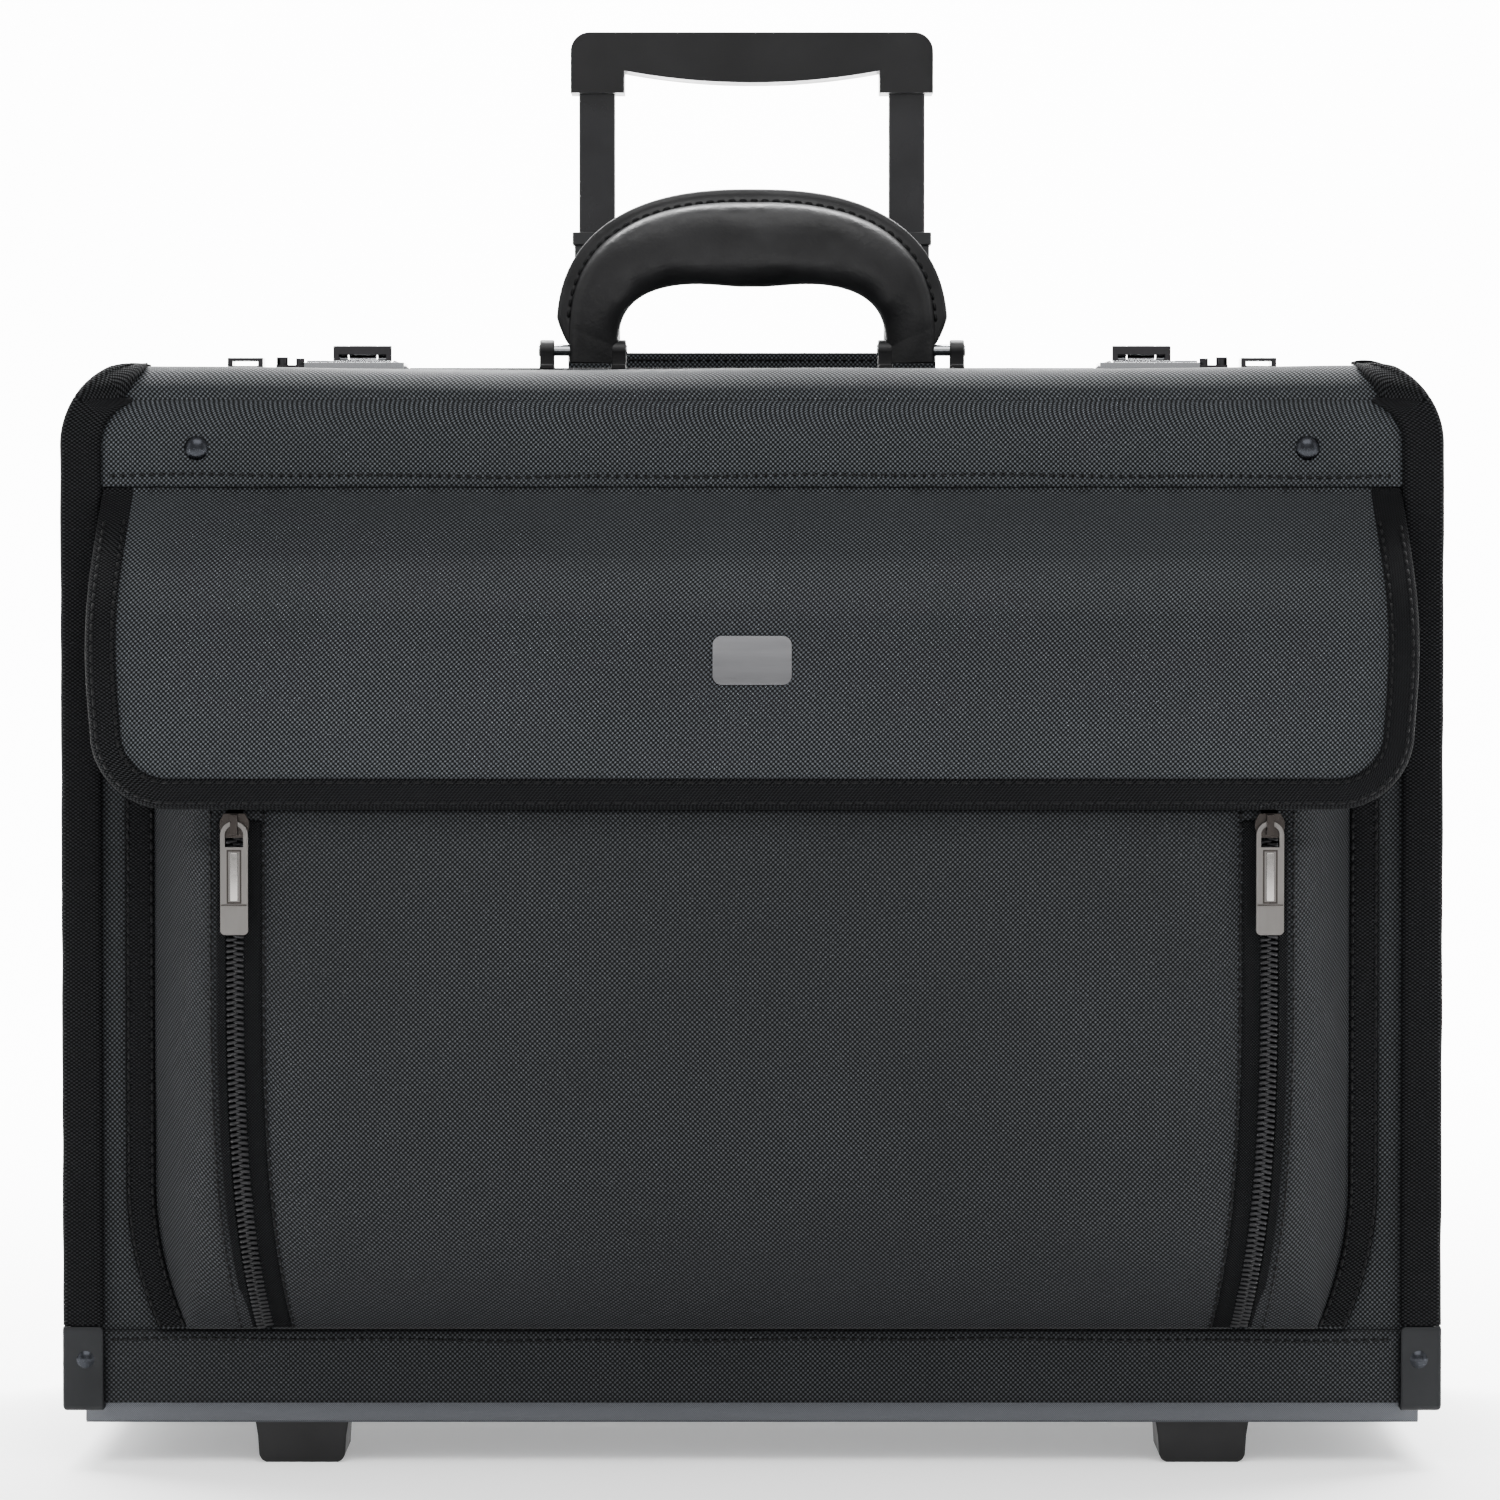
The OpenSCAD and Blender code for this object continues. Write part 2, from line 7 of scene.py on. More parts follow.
# %% Load the frame and keep its box
import bpy
import bmesh
import math
import numpy as np
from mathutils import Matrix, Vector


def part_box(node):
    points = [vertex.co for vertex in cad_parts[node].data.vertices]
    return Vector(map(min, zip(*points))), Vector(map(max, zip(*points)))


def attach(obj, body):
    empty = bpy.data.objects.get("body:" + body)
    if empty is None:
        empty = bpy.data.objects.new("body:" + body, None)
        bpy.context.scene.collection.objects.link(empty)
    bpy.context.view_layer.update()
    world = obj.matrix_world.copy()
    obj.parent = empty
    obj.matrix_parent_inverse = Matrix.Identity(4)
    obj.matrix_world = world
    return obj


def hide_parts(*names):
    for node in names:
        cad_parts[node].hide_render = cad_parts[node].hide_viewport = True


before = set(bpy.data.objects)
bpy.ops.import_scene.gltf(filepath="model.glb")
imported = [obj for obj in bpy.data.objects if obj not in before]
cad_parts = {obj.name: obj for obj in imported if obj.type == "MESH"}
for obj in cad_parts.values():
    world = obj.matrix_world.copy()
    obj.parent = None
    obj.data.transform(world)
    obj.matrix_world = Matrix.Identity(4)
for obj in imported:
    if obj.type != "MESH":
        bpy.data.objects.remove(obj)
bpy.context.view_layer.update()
MM = 0.001
print("frame nodes:", len(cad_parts))


def corner(node):
    """Lowest and highest corner of a frame node as two numpy points, in metres."""
    low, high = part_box(node)
    return np.array(low), np.array(high)


# %% [markdown]
# ## Helpers that turn arrays into pieces
# Cloth could be pushed into shape by hand or by a simulation. On this case it is glued tight
# over board, so its shape follows a rule, and every new piece is a surface worked out as one
# array of points. A grid of points becomes quads, and the distance along its rows and columns
# becomes its UV map in metres, so a weave follows the cloth wherever it bends.

# %% Meshes from arrays
def finish_piece(obj, body, material, smooth=True):
    """Gives a piece its material, smooth shading unless told not to, and its body."""
    obj.data.materials.clear()
    obj.data.materials.append(material)
    if smooth:
        obj.data.polygons.foreach_set("use_smooth", np.ones(len(obj.data.polygons), bool))
    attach(obj, body)
    return obj


def mesh_object(name, points, faces, uvs=None):
    """A mesh from an (n, 3) array and an (m, 4) array of corner numbers; uvs has one row a point."""
    mesh = bpy.data.meshes.new(name)
    mesh.from_pydata(np.asarray(points, float).tolist(), [], np.asarray(faces).tolist())
    if uvs is not None:
        layer = mesh.uv_layers.new(name="cloth")
        corners = np.zeros(len(mesh.loops), np.int32)
        mesh.loops.foreach_get("vertex_index", corners)
        layer.data.foreach_set("uv", np.asarray(uvs, float)[corners].ravel())
    mesh.update()
    obj = bpy.data.objects.new(name, mesh)
    bpy.context.scene.collection.objects.link(obj)
    return obj


def grid_faces(rows, columns, close_rows=False, close_columns=False):
    """Corner numbers of the quads between neighbouring rows and columns of a grid."""
    i = np.arange(rows if close_rows else rows - 1)
    j = np.arange(columns if close_columns else columns - 1)
    i, j = np.meshgrid(i, j, indexing="ij")
    i2, j2 = (i + 1) % rows, (j + 1) % columns
    quads = np.stack([i * columns + j, i * columns + j2, i2 * columns + j2, i2 * columns + j], -1)
    return quads.reshape(-1, 4)


# %% Sheets, solids and repeated shapes
def along(points, axis):
    """Distance walked along one axis of a grid of points, by itself in every row or column."""
    steps = np.linalg.norm(np.diff(points, axis=axis), axis=-1)
    return np.concatenate([np.zeros_like(np.take(steps, [0], axis)), np.cumsum(steps, axis)], axis)


def cloth_grid(name, points, flip=False):
    """A sheet from a (rows, columns, 3) grid, with UVs equal to the distances along it."""
    rows, columns = points.shape[:2]
    faces = grid_faces(rows, columns)
    if flip:
        faces = faces[:, ::-1]
    uv = np.stack([along(points, 1), along(points, 0)], -1).reshape(-1, 2)
    return mesh_object(name, points.reshape(-1, 3), faces, uv)


def strip(name, rings):
    """A solid from a stack of closed profile rings, shape (path, profile, 3), capped at both ends."""
    n, m = rings.shape[:2]
    uv = np.stack([along(rings, 1), along(rings, 0)], -1).reshape(-1, 2)
    obj = mesh_object(name, rings.reshape(-1, 3), grid_faces(n, m, False, True), uv)
    work = bmesh.new()
    work.from_mesh(obj.data)
    work.verts.ensure_lookup_table()
    for first in (0, (n - 1) * m):
        work.faces.new([work.verts[first + k] for k in range(m)])
    bmesh.ops.recalc_face_normals(work, faces=work.faces)
    work.to_mesh(obj.data)
    work.free()
    return obj


def repeats(name, shape, faces, places, axes):
    """One mesh of many copies of a small shape: copy k is places[k] + shape @ axes[k]."""
    points = places[:, None, :] + np.einsum("pj,kji->kpi", shape, axes)
    shift = np.arange(len(places))[:, None, None] * len(shape)
    return mesh_object(name, points.reshape(-1, 3), (faces[None] + shift).reshape(-1, faces.shape[1]))


def walk(path, spacing, start=0.0, stop=0.0):
    """Points and unit directions at equal distances along a path of points."""
    path = np.asarray(path, float)
    steps = np.linalg.norm(np.diff(path, axis=0), axis=1)
    s = np.concatenate([[0], np.cumsum(steps)])
    at = np.arange(start + spacing / 2, s[-1] - stop, spacing)
    points = np.stack([np.interp(at, s, path[:, k]) for k in range(3)], 1)
    ahead = np.stack([np.interp(at + spacing * 0.2, s, path[:, k]) for k in range(3)], 1)
    behind = np.stack([np.interp(at - spacing * 0.2, s, path[:, k]) for k in range(3)], 1)
    way = ahead - behind
    return points, way / np.linalg.norm(way, axis=1)[:, None]


def unit(v):
    """Each vector divided by its own length."""
    return v / np.linalg.norm(v, axis=-1, keepdims=True)


print("helpers ready")

# %% [markdown]
# ## Finishes
# A flat colour would make every part look like plastic, and a picture of cloth would smear
# where the cloth bends. So each finish is a small tree of nodes. The cloth is a tight plain
# weave: light threads come up in a checker, so two crossed sine waves give both its colour and
# its height. Webbing uses the same idea with flatter cells. Leather gets cells and creases, and
# metals get fine scratches.

# %% Node helpers
class Recipe:
    """A material under construction; each call adds a node and returns its output socket."""

    def __init__(self, name):
        """Starts a material with its shader and one node of coordinates."""
        self.material = bpy.data.materials.new(name)
        self.material.use_nodes = True
        self.tree = self.material.node_tree
        self.shader = self.tree.nodes["Principled BSDF"]
        self.coords = self.tree.nodes.new("ShaderNodeTexCoord")

    def node(self, kind, inputs=(), **settings):
        """Adds a node; an input that is a socket is linked, any other is set as a value."""
        made = self.tree.nodes.new(kind)
        for key, value in settings.items():
            setattr(made, key, value)
        for key, value in dict(inputs).items():
            if isinstance(value, bpy.types.NodeSocket):
                self.tree.links.new(value, made.inputs[key])
            else:
                made.inputs[key].default_value = value
        return made.outputs[0]

    def maths(self, operation, a, b=0.0):
        """One sum, product or function of two numbers."""
        return self.node("ShaderNodeMath", {0: a, 1: b}, operation=operation)

    def ramp(self, value, low, high, to_low=0.0, to_high=1.0):
        """A straight rise from to_low to to_high as the value goes from low to high."""
        return self.node("ShaderNodeMapRange", {0: value, 1: low, 2: high, 3: to_low, 4: to_high})

    def mix(self, factor, a, b):
        """Colour a where the factor is 0, colour b where it is 1."""
        made = self.tree.nodes.new("ShaderNodeMix")
        made.data_type = "RGBA"
        for socket, value in ((made.inputs[0], factor), (made.inputs[6], a), (made.inputs[7], b)):
            if isinstance(value, bpy.types.NodeSocket):
                self.tree.links.new(value, socket)
            elif isinstance(value, (tuple, list)):
                socket.default_value = (*value, 1)
            else:
                socket.default_value = value
        return made.outputs[2]

    def noise(self, scale, detail=3.0, rough=0.5, source="Object", stretch=(1, 1, 1)):
        """Cloudy noise with about scale clouds in a metre, stretched along the axes."""
        place = self.node("ShaderNodeMapping", {"Vector": self.coords.outputs[source], "Scale": stretch})
        return self.node("ShaderNodeTexNoise",
                         {"Vector": place, "Scale": scale, "Detail": detail, "Roughness": rough})

    def bump(self, height, strength, distance, normal=None):
        """A height turned into a normal, on top of another normal if one is given."""
        inputs = {"Height": height, "Strength": strength, "Distance": distance}
        if normal is not None:
            inputs["Normal"] = normal
        return self.node("ShaderNodeBump", inputs)

    def set(self, **values):
        """Links or sets the shader's own sockets, named with underscores for spaces."""
        for key, value in values.items():
            socket = self.shader.inputs[key.replace("_", " ")]
            if isinstance(value, bpy.types.NodeSocket):
                self.tree.links.new(value, socket)
            elif isinstance(value, (tuple, list)):
                socket.default_value = (*value, 1)
            else:
                socket.default_value = value
        return self


def flat_axes(recipe, axes):
    """The two coordinates that a flat cloth pattern reads: UV on cloth, or two object axes."""
    if axes == "uv":
        split = recipe.node("ShaderNodeSeparateXYZ", {0: recipe.coords.outputs["UV"]}).node
        return split.outputs[0], split.outputs[1]
    split = recipe.node("ShaderNodeSeparateXYZ", {0: recipe.coords.outputs["Object"]}).node
    return split.outputs["xyz".index(axes[0])], split.outputs["xyz".index(axes[1])]


def crossed_waves(recipe, a, b, pitch_a, pitch_b):
    """Height of a checker weave, from 0 to 1: half of 1 + sin(pi a / pitch) sin(pi b / pitch)."""
    wave_a = recipe.maths("SINE", recipe.maths("MULTIPLY", a, math.pi / pitch_a))
    wave_b = recipe.maths("SINE", recipe.maths("MULTIPLY", b, math.pi / pitch_b))
    both = recipe.maths("MULTIPLY", wave_a, wave_b)
    return recipe.maths("MULTIPLY_ADD", both, 0.5)


# %% Woven cloth, webbing and tape
def woven(name, axes, dark=(0.0006, 0.0007, 0.0008), light=(0.041, 0.0455, 0.051),
          pitch=(0.8 * MM, 0.8 * MM), rough=0.55, height=0.3 * MM, sheen=0.02, gloss=0.1):
    """Ballistic cloth: crossed threads, uneven dye and a little sheen."""
    r = Recipe(name)
    a, b = flat_axes(r, axes)
    wobble = r.noise(9, 2)
    a = r.maths("ADD", a, r.maths("MULTIPLY", wobble, 0.6 * MM))
    wave = crossed_waves(r, a, b, *pitch)
    thread = r.ramp(wave, 0.44, 0.86)
    fibre = r.ramp(r.noise(2600, 2, 0.7), 0.3, 0.7, 0.75, 1.15)
    cloud = r.ramp(r.noise(14, 4, 0.6), 0.3, 0.7, 0.86, 1.1)
    tint = r.maths("MULTIPLY", thread, r.maths("MULTIPLY", fibre, cloud))
    colour = r.mix(tint, dark, light)
    normal = r.bump(wave, 0.75, height, r.bump(r.noise(30, 3), 0.12, 0.6 * MM))
    shine = r.ramp(thread, 0, 1, rough + 0.2, rough)
    r.set(Base_Color=colour, Roughness=shine, Normal=normal, Sheen_Weight=sheen, Sheen_Roughness=0.45,
          Specular_IOR_Level=gloss)
    return r.material


def webbing(name, light=(0.0125, 0.013, 0.014), pitch=(0.85 * MM, 0.62 * MM), source="uv"):
    """Ribbed binding tape: short cells across the tape, rougher and darker than the cloth."""
    return woven(name, source, dark=(0.0002, 0.0002, 0.0003), light=light, pitch=pitch,
                 rough=0.66, height=0.35 * MM, sheen=0.0, gloss=0.04)


cloth = woven("nylon_cloth", "uv")
cloth_front = woven("nylon_front", "xz")
cloth_board = woven("nylon_board", "xz", light=(0.028, 0.0305, 0.034))
cloth_side = woven("nylon_side", "yz")
# a darker copy of the same nylon for the base band, pocket sides and drop panel: painted shade, standing
# for the lower front lying in shadow
shaded_nylon = woven("nylon_painted_shade", "uv", light=(0.027, 0.029, 0.0325))
binding = webbing("binding_tape")
tape = webbing("zip_tape_cloth", light=(0.011, 0.0117, 0.0125), pitch=(0.5 * MM, 0.5 * MM))
lining = woven("lining_cloth", "uv", dark=(0.05, 0.053, 0.06), light=(0.11, 0.115, 0.125),
               pitch=(0.35 * MM, 0.35 * MM), rough=0.7, height=0.05 * MM, sheen=0.1)


def thread_material():
    """Black sewing thread: a dark tone mottled by noise, with a fine fuzz in its height."""
    r = Recipe("sewing_thread")
    r.set(Specular_IOR_Level=0.1,
          Base_Color=r.mix(r.noise(900, 2), (0.0004, 0.0004, 0.0005), (0.0022, 0.0023, 0.0026)),
          Roughness=0.5, Normal=r.bump(r.noise(3000, 2), 0.5, 0.1 * MM))
    return r.material


thread = thread_material()


# %% Leather, plastic, rubber and metal
def leather_look():
    """Grained handle skin: fine cells, soft creases and a low waxed shine."""
    r = Recipe("grained_leather")
    cells = r.node("ShaderNodeTexVoronoi", {"Vector": r.coords.outputs["Object"], "Scale": 900.0})
    creases = r.noise(55, 3, 0.5)
    fine = r.noise(420, 4, 0.6)
    normal = r.bump(creases, 0.3, 1.6 * MM)
    normal = r.bump(fine, 0.35, 0.3 * MM, normal)
    normal = r.bump(cells, 0.25, 0.12 * MM, normal)
    tone = r.ramp(r.noise(60, 3), 0.3, 0.7)
    r.set(Base_Color=r.mix(tone, (0.0035, 0.0035, 0.0038), (0.009, 0.009, 0.0095)),
          Roughness=r.ramp(r.noise(160, 3), 0.3, 0.7, 0.3, 0.46), Normal=normal,
          Specular_IOR_Level=0.16)
    return r.material


def moulded(name, low, high, rough, grain=0.25, scale=1400, gloss=0.3):
    """Moulded plastic: a spark-eroded grain, faint cloudy colour and scuffs in the shine."""
    r = Recipe(name)
    r.set(Base_Color=r.mix(r.ramp(r.noise(45, 4), 0.3, 0.7), low, high),
          Roughness=r.ramp(r.noise(70, 4, 0.6), 0.25, 0.75, rough - 0.06, rough + 0.1),
          Normal=r.bump(r.noise(scale, 2, 0.6), grain, 0.12 * MM), Specular_IOR_Level=gloss)
    return r.material


def metal(name, tone, rough, brushed=(1, 1, 1), scratch=0.06):
    """Plated or brushed metal: the scratches stretch along the brushing."""
    r = Recipe(name)
    marks = r.noise(700, 3, 0.6, stretch=brushed)
    dark = tuple(0.82 * c for c in tone)
    r.set(Base_Color=r.mix(marks, dark, tone), Metallic=1.0,
          Roughness=r.ramp(marks, 0.25, 0.75, rough * 0.8, rough * 1.25),
          Normal=r.bump(marks, scratch, 0.05 * MM))
    return r.material


# %% The finishes of the hard parts
leather = leather_look()
protector_plastic = moulded("protector_plastic", (0.0035, 0.0039, 0.0045), (0.006, 0.0066, 0.0076), 0.5,
                            0.3, gloss=0.14)
black_plastic = moulded("black_plastic", (0.0022, 0.0022, 0.0024), (0.005, 0.005, 0.0054), 0.38, gloss=0.19)
coil_plastic = moulded("coil_plastic", (0.004, 0.004, 0.0045), (0.008, 0.008, 0.009), 0.3, 0.1, gloss=0.16)
rubber = moulded("tyre_rubber", (0.010, 0.010, 0.010), (0.022, 0.022, 0.023), 0.7, 0.5, 500)
hub_plastic = moulded("hub_plastic", (0.03, 0.031, 0.034), (0.05, 0.051, 0.055), 0.42)
chrome = metal("chrome_plate", (0.25, 0.255, 0.265), 0.16)
# chrome toned almost black for the end clips, hasps and lock levers: a painted dark reflection, a shaded
# copy of the chrome
painted_dark_chrome = metal("shaded_chrome", (0.035, 0.034, 0.036), 0.14)
nickel = metal("satin_nickel", (0.115, 0.109, 0.104), 0.34, (1, 1, 0.12), 0.14)
# nickel for the pull's rib: polished, with a lower roughness, and lighter in tone as a painted highlight
highlight_nickel = metal("polished_nickel", (0.25, 0.24, 0.23), 0.22)
# dark nickel: the slider's dark tone, and painted shade for the band in the pull's groove and the line of
# its step
dark_nickel_and_shade = metal("slider_nickel_and_painted_shade", (0.03, 0.026, 0.024), 0.3)
brushed_plate = metal("brushed_plate", (0.115, 0.115, 0.12), 0.34, (0.06, 1, 1), 0.2)
gunmetal = metal("gunmetal", (0.022, 0.0235, 0.027), 0.26)
bare_steel = metal("bare_steel", (0.42, 0.42, 0.43), 0.38, (1, 1, 0.2), 0.1)
tube_paint = moulded("tube_paint", (0.006, 0.006, 0.007), (0.010, 0.010, 0.011), 0.14, 0.04)
tube_matt = moulded("tube_matt", (0.006, 0.0063, 0.007), (0.010, 0.0105, 0.0115), 0.36, 0.1)
print("finishes:", len(bpy.data.materials))

# %% [markdown]
# ## Parts that stay as the frame has them
# Flat boards, tubes and axles already have their true shape. They only need a finish that
# runs the right way, so each is given a cloth that reads the two axes of its widest face.

# %% Finish the carried-over nodes
kept = {
    "rear_panel": cloth_front, "left_side_panel": cloth_side, "right_side_panel": cloth_side,
    "front_panel": cloth_board, "base_panel": black_plastic, "padded_divider": cloth_front,
    "wheel_axles": bare_steel, "trolley_outer_tubes": bare_steel, "trolley_bottom_bracket": black_plastic,
    "trolley_sleeve": cloth_front, "trolley_bezel": cloth_front, "handle_pins": chrome,
    "release_rods": bare_steel, "pocket_upper_front": cloth_board,
}
for node, material in kept.items():
    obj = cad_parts[node]
    obj.data.materials.clear()
    obj.data.materials.append(material)
print("kept as they are:", len(kept))


# %% [markdown]
# ## Hard parts with broken edges
# No real moulded or stamped part has a knife edge: light catches on a thin round line along it.
# Each part could be modelled again, but its frame node already has the right shape. So a copy
# of the node's mesh has its loose triangles joined, and a small bevel rounds every sharp edge.

# %% Rounded copies of the hard nodes
def softened(node, body, slot, material, width, segments=3):
    """A merged copy of a node with its sharp edges bevelled; it stands for the node."""
    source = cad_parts[node]
    mesh = source.data.copy()
    work = bmesh.new()
    work.from_mesh(mesh)
    bmesh.ops.remove_doubles(work, verts=work.verts, dist=0.00001)
    work.to_mesh(mesh)
    work.free()
    obj = bpy.data.objects.new(node + "_made", mesh)
    bpy.context.scene.collection.objects.link(obj)
    bevel = obj.modifiers.new("edges", "BEVEL")
    bevel.width = width
    bevel.segments = segments
    bevel.limit_method = "ANGLE"
    bevel.angle_limit = math.radians(35)
    bevel.harden_normals = True
    if "custom_normal" in mesh.attributes:
        mesh.attributes.remove(mesh.attributes["custom_normal"])
    finish_piece(obj, body, material)
    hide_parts(node)
    return obj


# %% The list of rounded parts: node, body, slot, finish, width of the round edge
hard_parts = [
    ("left_corner_protector", "case", "protector_plastic", protector_plastic, 1.6 * MM),
    ("right_corner_protector", "case", "protector_plastic", protector_plastic, 1.6 * MM),
    ("front_feet", "case", "black_plastic", black_plastic, 1.4 * MM),
    ("left_wheel_housing", "case", "protector_plastic", protector_plastic, 1.6 * MM),
    ("right_wheel_housing", "case", "protector_plastic", protector_plastic, 1.6 * MM),
    ("handle_lugs", "front_lid", "black_plastic", black_plastic, 0.5 * MM),
    ("lock_bases", "front_lid", "chrome", chrome, 0.35 * MM),
    ("end_clips", "front_lid", "chrome", painted_dark_chrome, 0.35 * MM),
    ("hasp_brackets", "rear_lid", "chrome", chrome, 0.25 * MM),
    ("left_hasp", "hasp_left", "chrome", painted_dark_chrome, 0.3 * MM),
    ("right_hasp", "hasp_right", "chrome", painted_dark_chrome, 0.3 * MM),
    ("left_lock_lever", "lock_lever_left", "chrome", painted_dark_chrome, 0.3 * MM),
    ("right_lock_lever", "lock_lever_right", "chrome", painted_dark_chrome, 0.3 * MM),
    ("trolley_mid_tubes", "trolley_lower", "tube_black", tube_matt, 0.8 * MM),
    ("trolley_inner_tubes", "trolley_upper", "tube_black", tube_paint, 0.95 * MM),
    ("trolley_grip", "trolley_upper", "black_plastic", black_plastic, 1.8 * MM),
    ("release_button", "grip_release", "protector_plastic", protector_plastic, 0.8 * MM),
    ("left_wheel_hub", "wheel_left", "hub", hub_plastic, 0.6 * MM),
    ("right_wheel_hub", "wheel_right", "hub", hub_plastic, 0.6 * MM),
    ("left_wheel_tyre", "wheel_left", "tyre", rubber, 0.4 * MM),
    ("right_wheel_tyre", "wheel_right", "tyre", rubber, 0.4 * MM),
    ("flap_plate", "pocket_flap", "nickel", brushed_plate, 0.4 * MM),
    ("dome_rivets", "case", "gunmetal", gunmetal, 0.2 * MM),
]
for part in hard_parts:
    softened(*part)
print("rounded parts:", len(hard_parts))

# %% [markdown]
# ## Where the cloth goes
# The soft pieces are worked out in millimetres, with Y counted from the outer face of the front
# board (minus is forward), and one function places them. The sizes they share come from the
# frame, so the cloth always lies on its boards.

# %% Sizes read from the frame, in millimetres
front = corner("front_panel")[0][1] / MM
half_w = corner("right_side_panel")[1][0] / MM
side_top = corner("front_lid_shell")[0][2] / MM
top = corner("front_lid_shell")[1][2] / MM
crease = corner("front_panel")[1][2] / MM
face = corner("hem_band")[0][1] / MM - front
back = corner("rear_panel")[1][1] / MM - front
split = corner("front_lid_shell")[1][1] / MM - front
rear_end = corner("rear_lid_shell")[1][1] / MM - front
foot = corner("base_band")[0][2] / MM
hem_low = corner("drop_panel")[0][2] / MM
panel_top = corner("drop_panel")[1][2] / MM
hinge = corner("hem_band")[0][2] / MM - 2
flap_low = corner("flap_binding")[0][2] / MM
flap_half = corner("flap_binding")[1][0] / MM
bend = top - side_top
nose = 12.0
bend_x = half_w - bend
print("crease", round(crease, 1), "flap", round(flap_low, 1), "to", round(hinge, 1), "back", round(back, 1))


# %% Placing, rippling and thickening the cloth
def place(x, y, z):
    """Coordinates in millimetres stacked into points in metres, Y counted from the front board."""
    x, y, z = np.broadcast_arrays(x, y, z)
    return np.stack([x, y + front, z], -1) * MM


def ripple(a, b, size, amount, seed=1.0):
    """Soft unevenness of hand-pulled cloth: three crossed sines of unlike lengths, in millimetres."""
    return amount * (np.sin(a / size + seed) * np.cos(b / (0.8 * size) + 2 * seed)
                     + 0.6 * np.sin((a + 0.7 * b) / (0.57 * size) + 3 * seed)
                     + 0.4 * np.sin((a - 1.3 * b) / (0.36 * size) + 5 * seed)) / 2


def sheet(name, points, body, material, thick=0.0, flip=False, rounded=0.0):
    """A grid of points made into cloth: doubles joined, then given a thickness behind its face."""
    obj = cloth_grid(name, points, flip)
    work = bmesh.new()
    work.from_mesh(obj.data)
    bmesh.ops.remove_doubles(work, verts=work.verts, dist=0.00002)
    work.to_mesh(obj.data)
    work.free()
    if thick:
        solid = obj.modifiers.new("thickness", "SOLIDIFY")
        solid.thickness, solid.offset = thick * MM, -1
    if rounded:
        edge = obj.modifiers.new("rolled", "BEVEL")
        edge.width, edge.segments, edge.limit_method = rounded * MM, 3, "ANGLE"
        edge.angle_limit = math.radians(50)
    return finish_piece(obj, body, material)


# %% [markdown]
# ## Stitches
# A seam is a row of short threads that dip into the cloth at both ends. It could be a dashed
# line in a material, but then it would have no height and cast no shadow. One stitch here is a
# small spindle, and copies of it are laid along a path, each turned to the path's direction.

# %% One stitch, and a seam of them
ring = np.linspace(0, 2 * np.pi, 6, endpoint=False)
spindle = np.concatenate([
    np.stack([np.full(6, t), 0.5 * r * np.cos(ring), r * np.sin(ring) - d], 1)
    for t, r, d in ((-0.5, 0.3, 0.55), (-0.3, 0.95, 0.0), (0.3, 0.95, 0.0), (0.5, 0.3, 0.55))])
spindle_faces = grid_faces(4, 6, False, True)


def seam(name, path, up, body, length=2.3, gap=0.8, width=0.55):
    """Stitches along a path of points in metres; up is the outward direction, one or one a point."""
    points, way = walk(path, (length + gap) * MM)
    up = np.broadcast_to(np.asarray(up, float), np.shape(path))
    steps = np.concatenate([[0], np.cumsum(np.linalg.norm(np.diff(path, axis=0), axis=1))])
    at = np.linspace(0, steps[-1], len(points))
    up = unit(np.stack([np.interp(at, steps, up[:, k]) for k in range(3)], 1))
    side = unit(np.cross(up, way))
    up = np.cross(way, side)
    shape = spindle * np.array([length, 2 * width, 0.6 * width]) * MM
    obj = repeats(name, shape, spindle_faces, points, np.stack([way, side, up], 1))
    return finish_piece(obj, body, thread)


print("one stitch has", len(spindle_faces), "faces")


# %% [markdown]
# ## The lid skins
# Each lid is a shallow moulded tray under cloth. Seen from the front its edge is an arch, and
# the front lid also rolls over at its nose. Both are one height map: the depth below the top is
# the arch's depth and the nose's depth joined by a sixth-power norm, which keeps the mitre
# between them a little soft.

# %% Curves of the front lid
def nose_depth(y):
    """How far the rolled front edge has dropped: r - sqrt(r^2 - d^2), d from the roll's centre."""
    over = np.clip(face + nose - y, 0, nose)
    return nose - np.sqrt(nose ** 2 - over ** 2)


def nose_front(z):
    """Where the rolled front edge is at height z: centre - sqrt(r^2 - h^2)."""
    h = np.clip(z - (top - nose), 0, nose)
    return face + nose - np.sqrt(nose ** 2 - h ** 2)


def sag(x, y):
    """The nose has settled a little between its stiff ends: two bells across, fading to the back."""
    bells = 2.6 * np.exp(-((x + 72) / 92) ** 2) + 1.5 * np.exp(-((x - 105) / 75) ** 2)
    return bells * np.exp(-np.clip(y - 8, 0, None) / 34)


# %% The front lid's height map
turn = np.radians(np.concatenate([np.linspace(-90, 0, 26)[:-1], np.zeros(90), np.linspace(0, 90, 26)[1:]]))
flat_x = np.concatenate([np.full(25, -bend_x), np.linspace(-bend_x, bend_x, 90), np.full(25, bend_x)])
arch_x = flat_x + bend * np.sin(turn)
arch_d = bend * (1 - np.cos(turn))
roll = np.radians(np.linspace(0.55, 90, 18))
lid_y = np.concatenate([face + nose * (1 - np.cos(roll)), np.linspace(face + nose, split, 46)[1:]])
X, Y = np.meshgrid(arch_x, lid_y)
deep = top - crease - 0.12
steep = np.broadcast_to(arch_d > deep, X.shape)
D = np.where(steep, arch_d, np.minimum((arch_d ** 6 + nose_depth(Y) ** 6) ** (1 / 6), deep))
Y = np.where(steep, np.maximum(Y, 4.3), Y)
soft = np.clip((deep - D) / deep, 0, 1) * np.clip((half_w - 6 - np.abs(X)) / 20, 0, 1)
Z = top - D - soft * (sag(X, Y) + ripple(X, Y, 26, 0.22))
sheet("front_lid_skin", place(X, Y, Z), "front_lid", cloth, 3.2)
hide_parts("front_lid_shell")
print("front lid skin rows and columns:", X.shape)

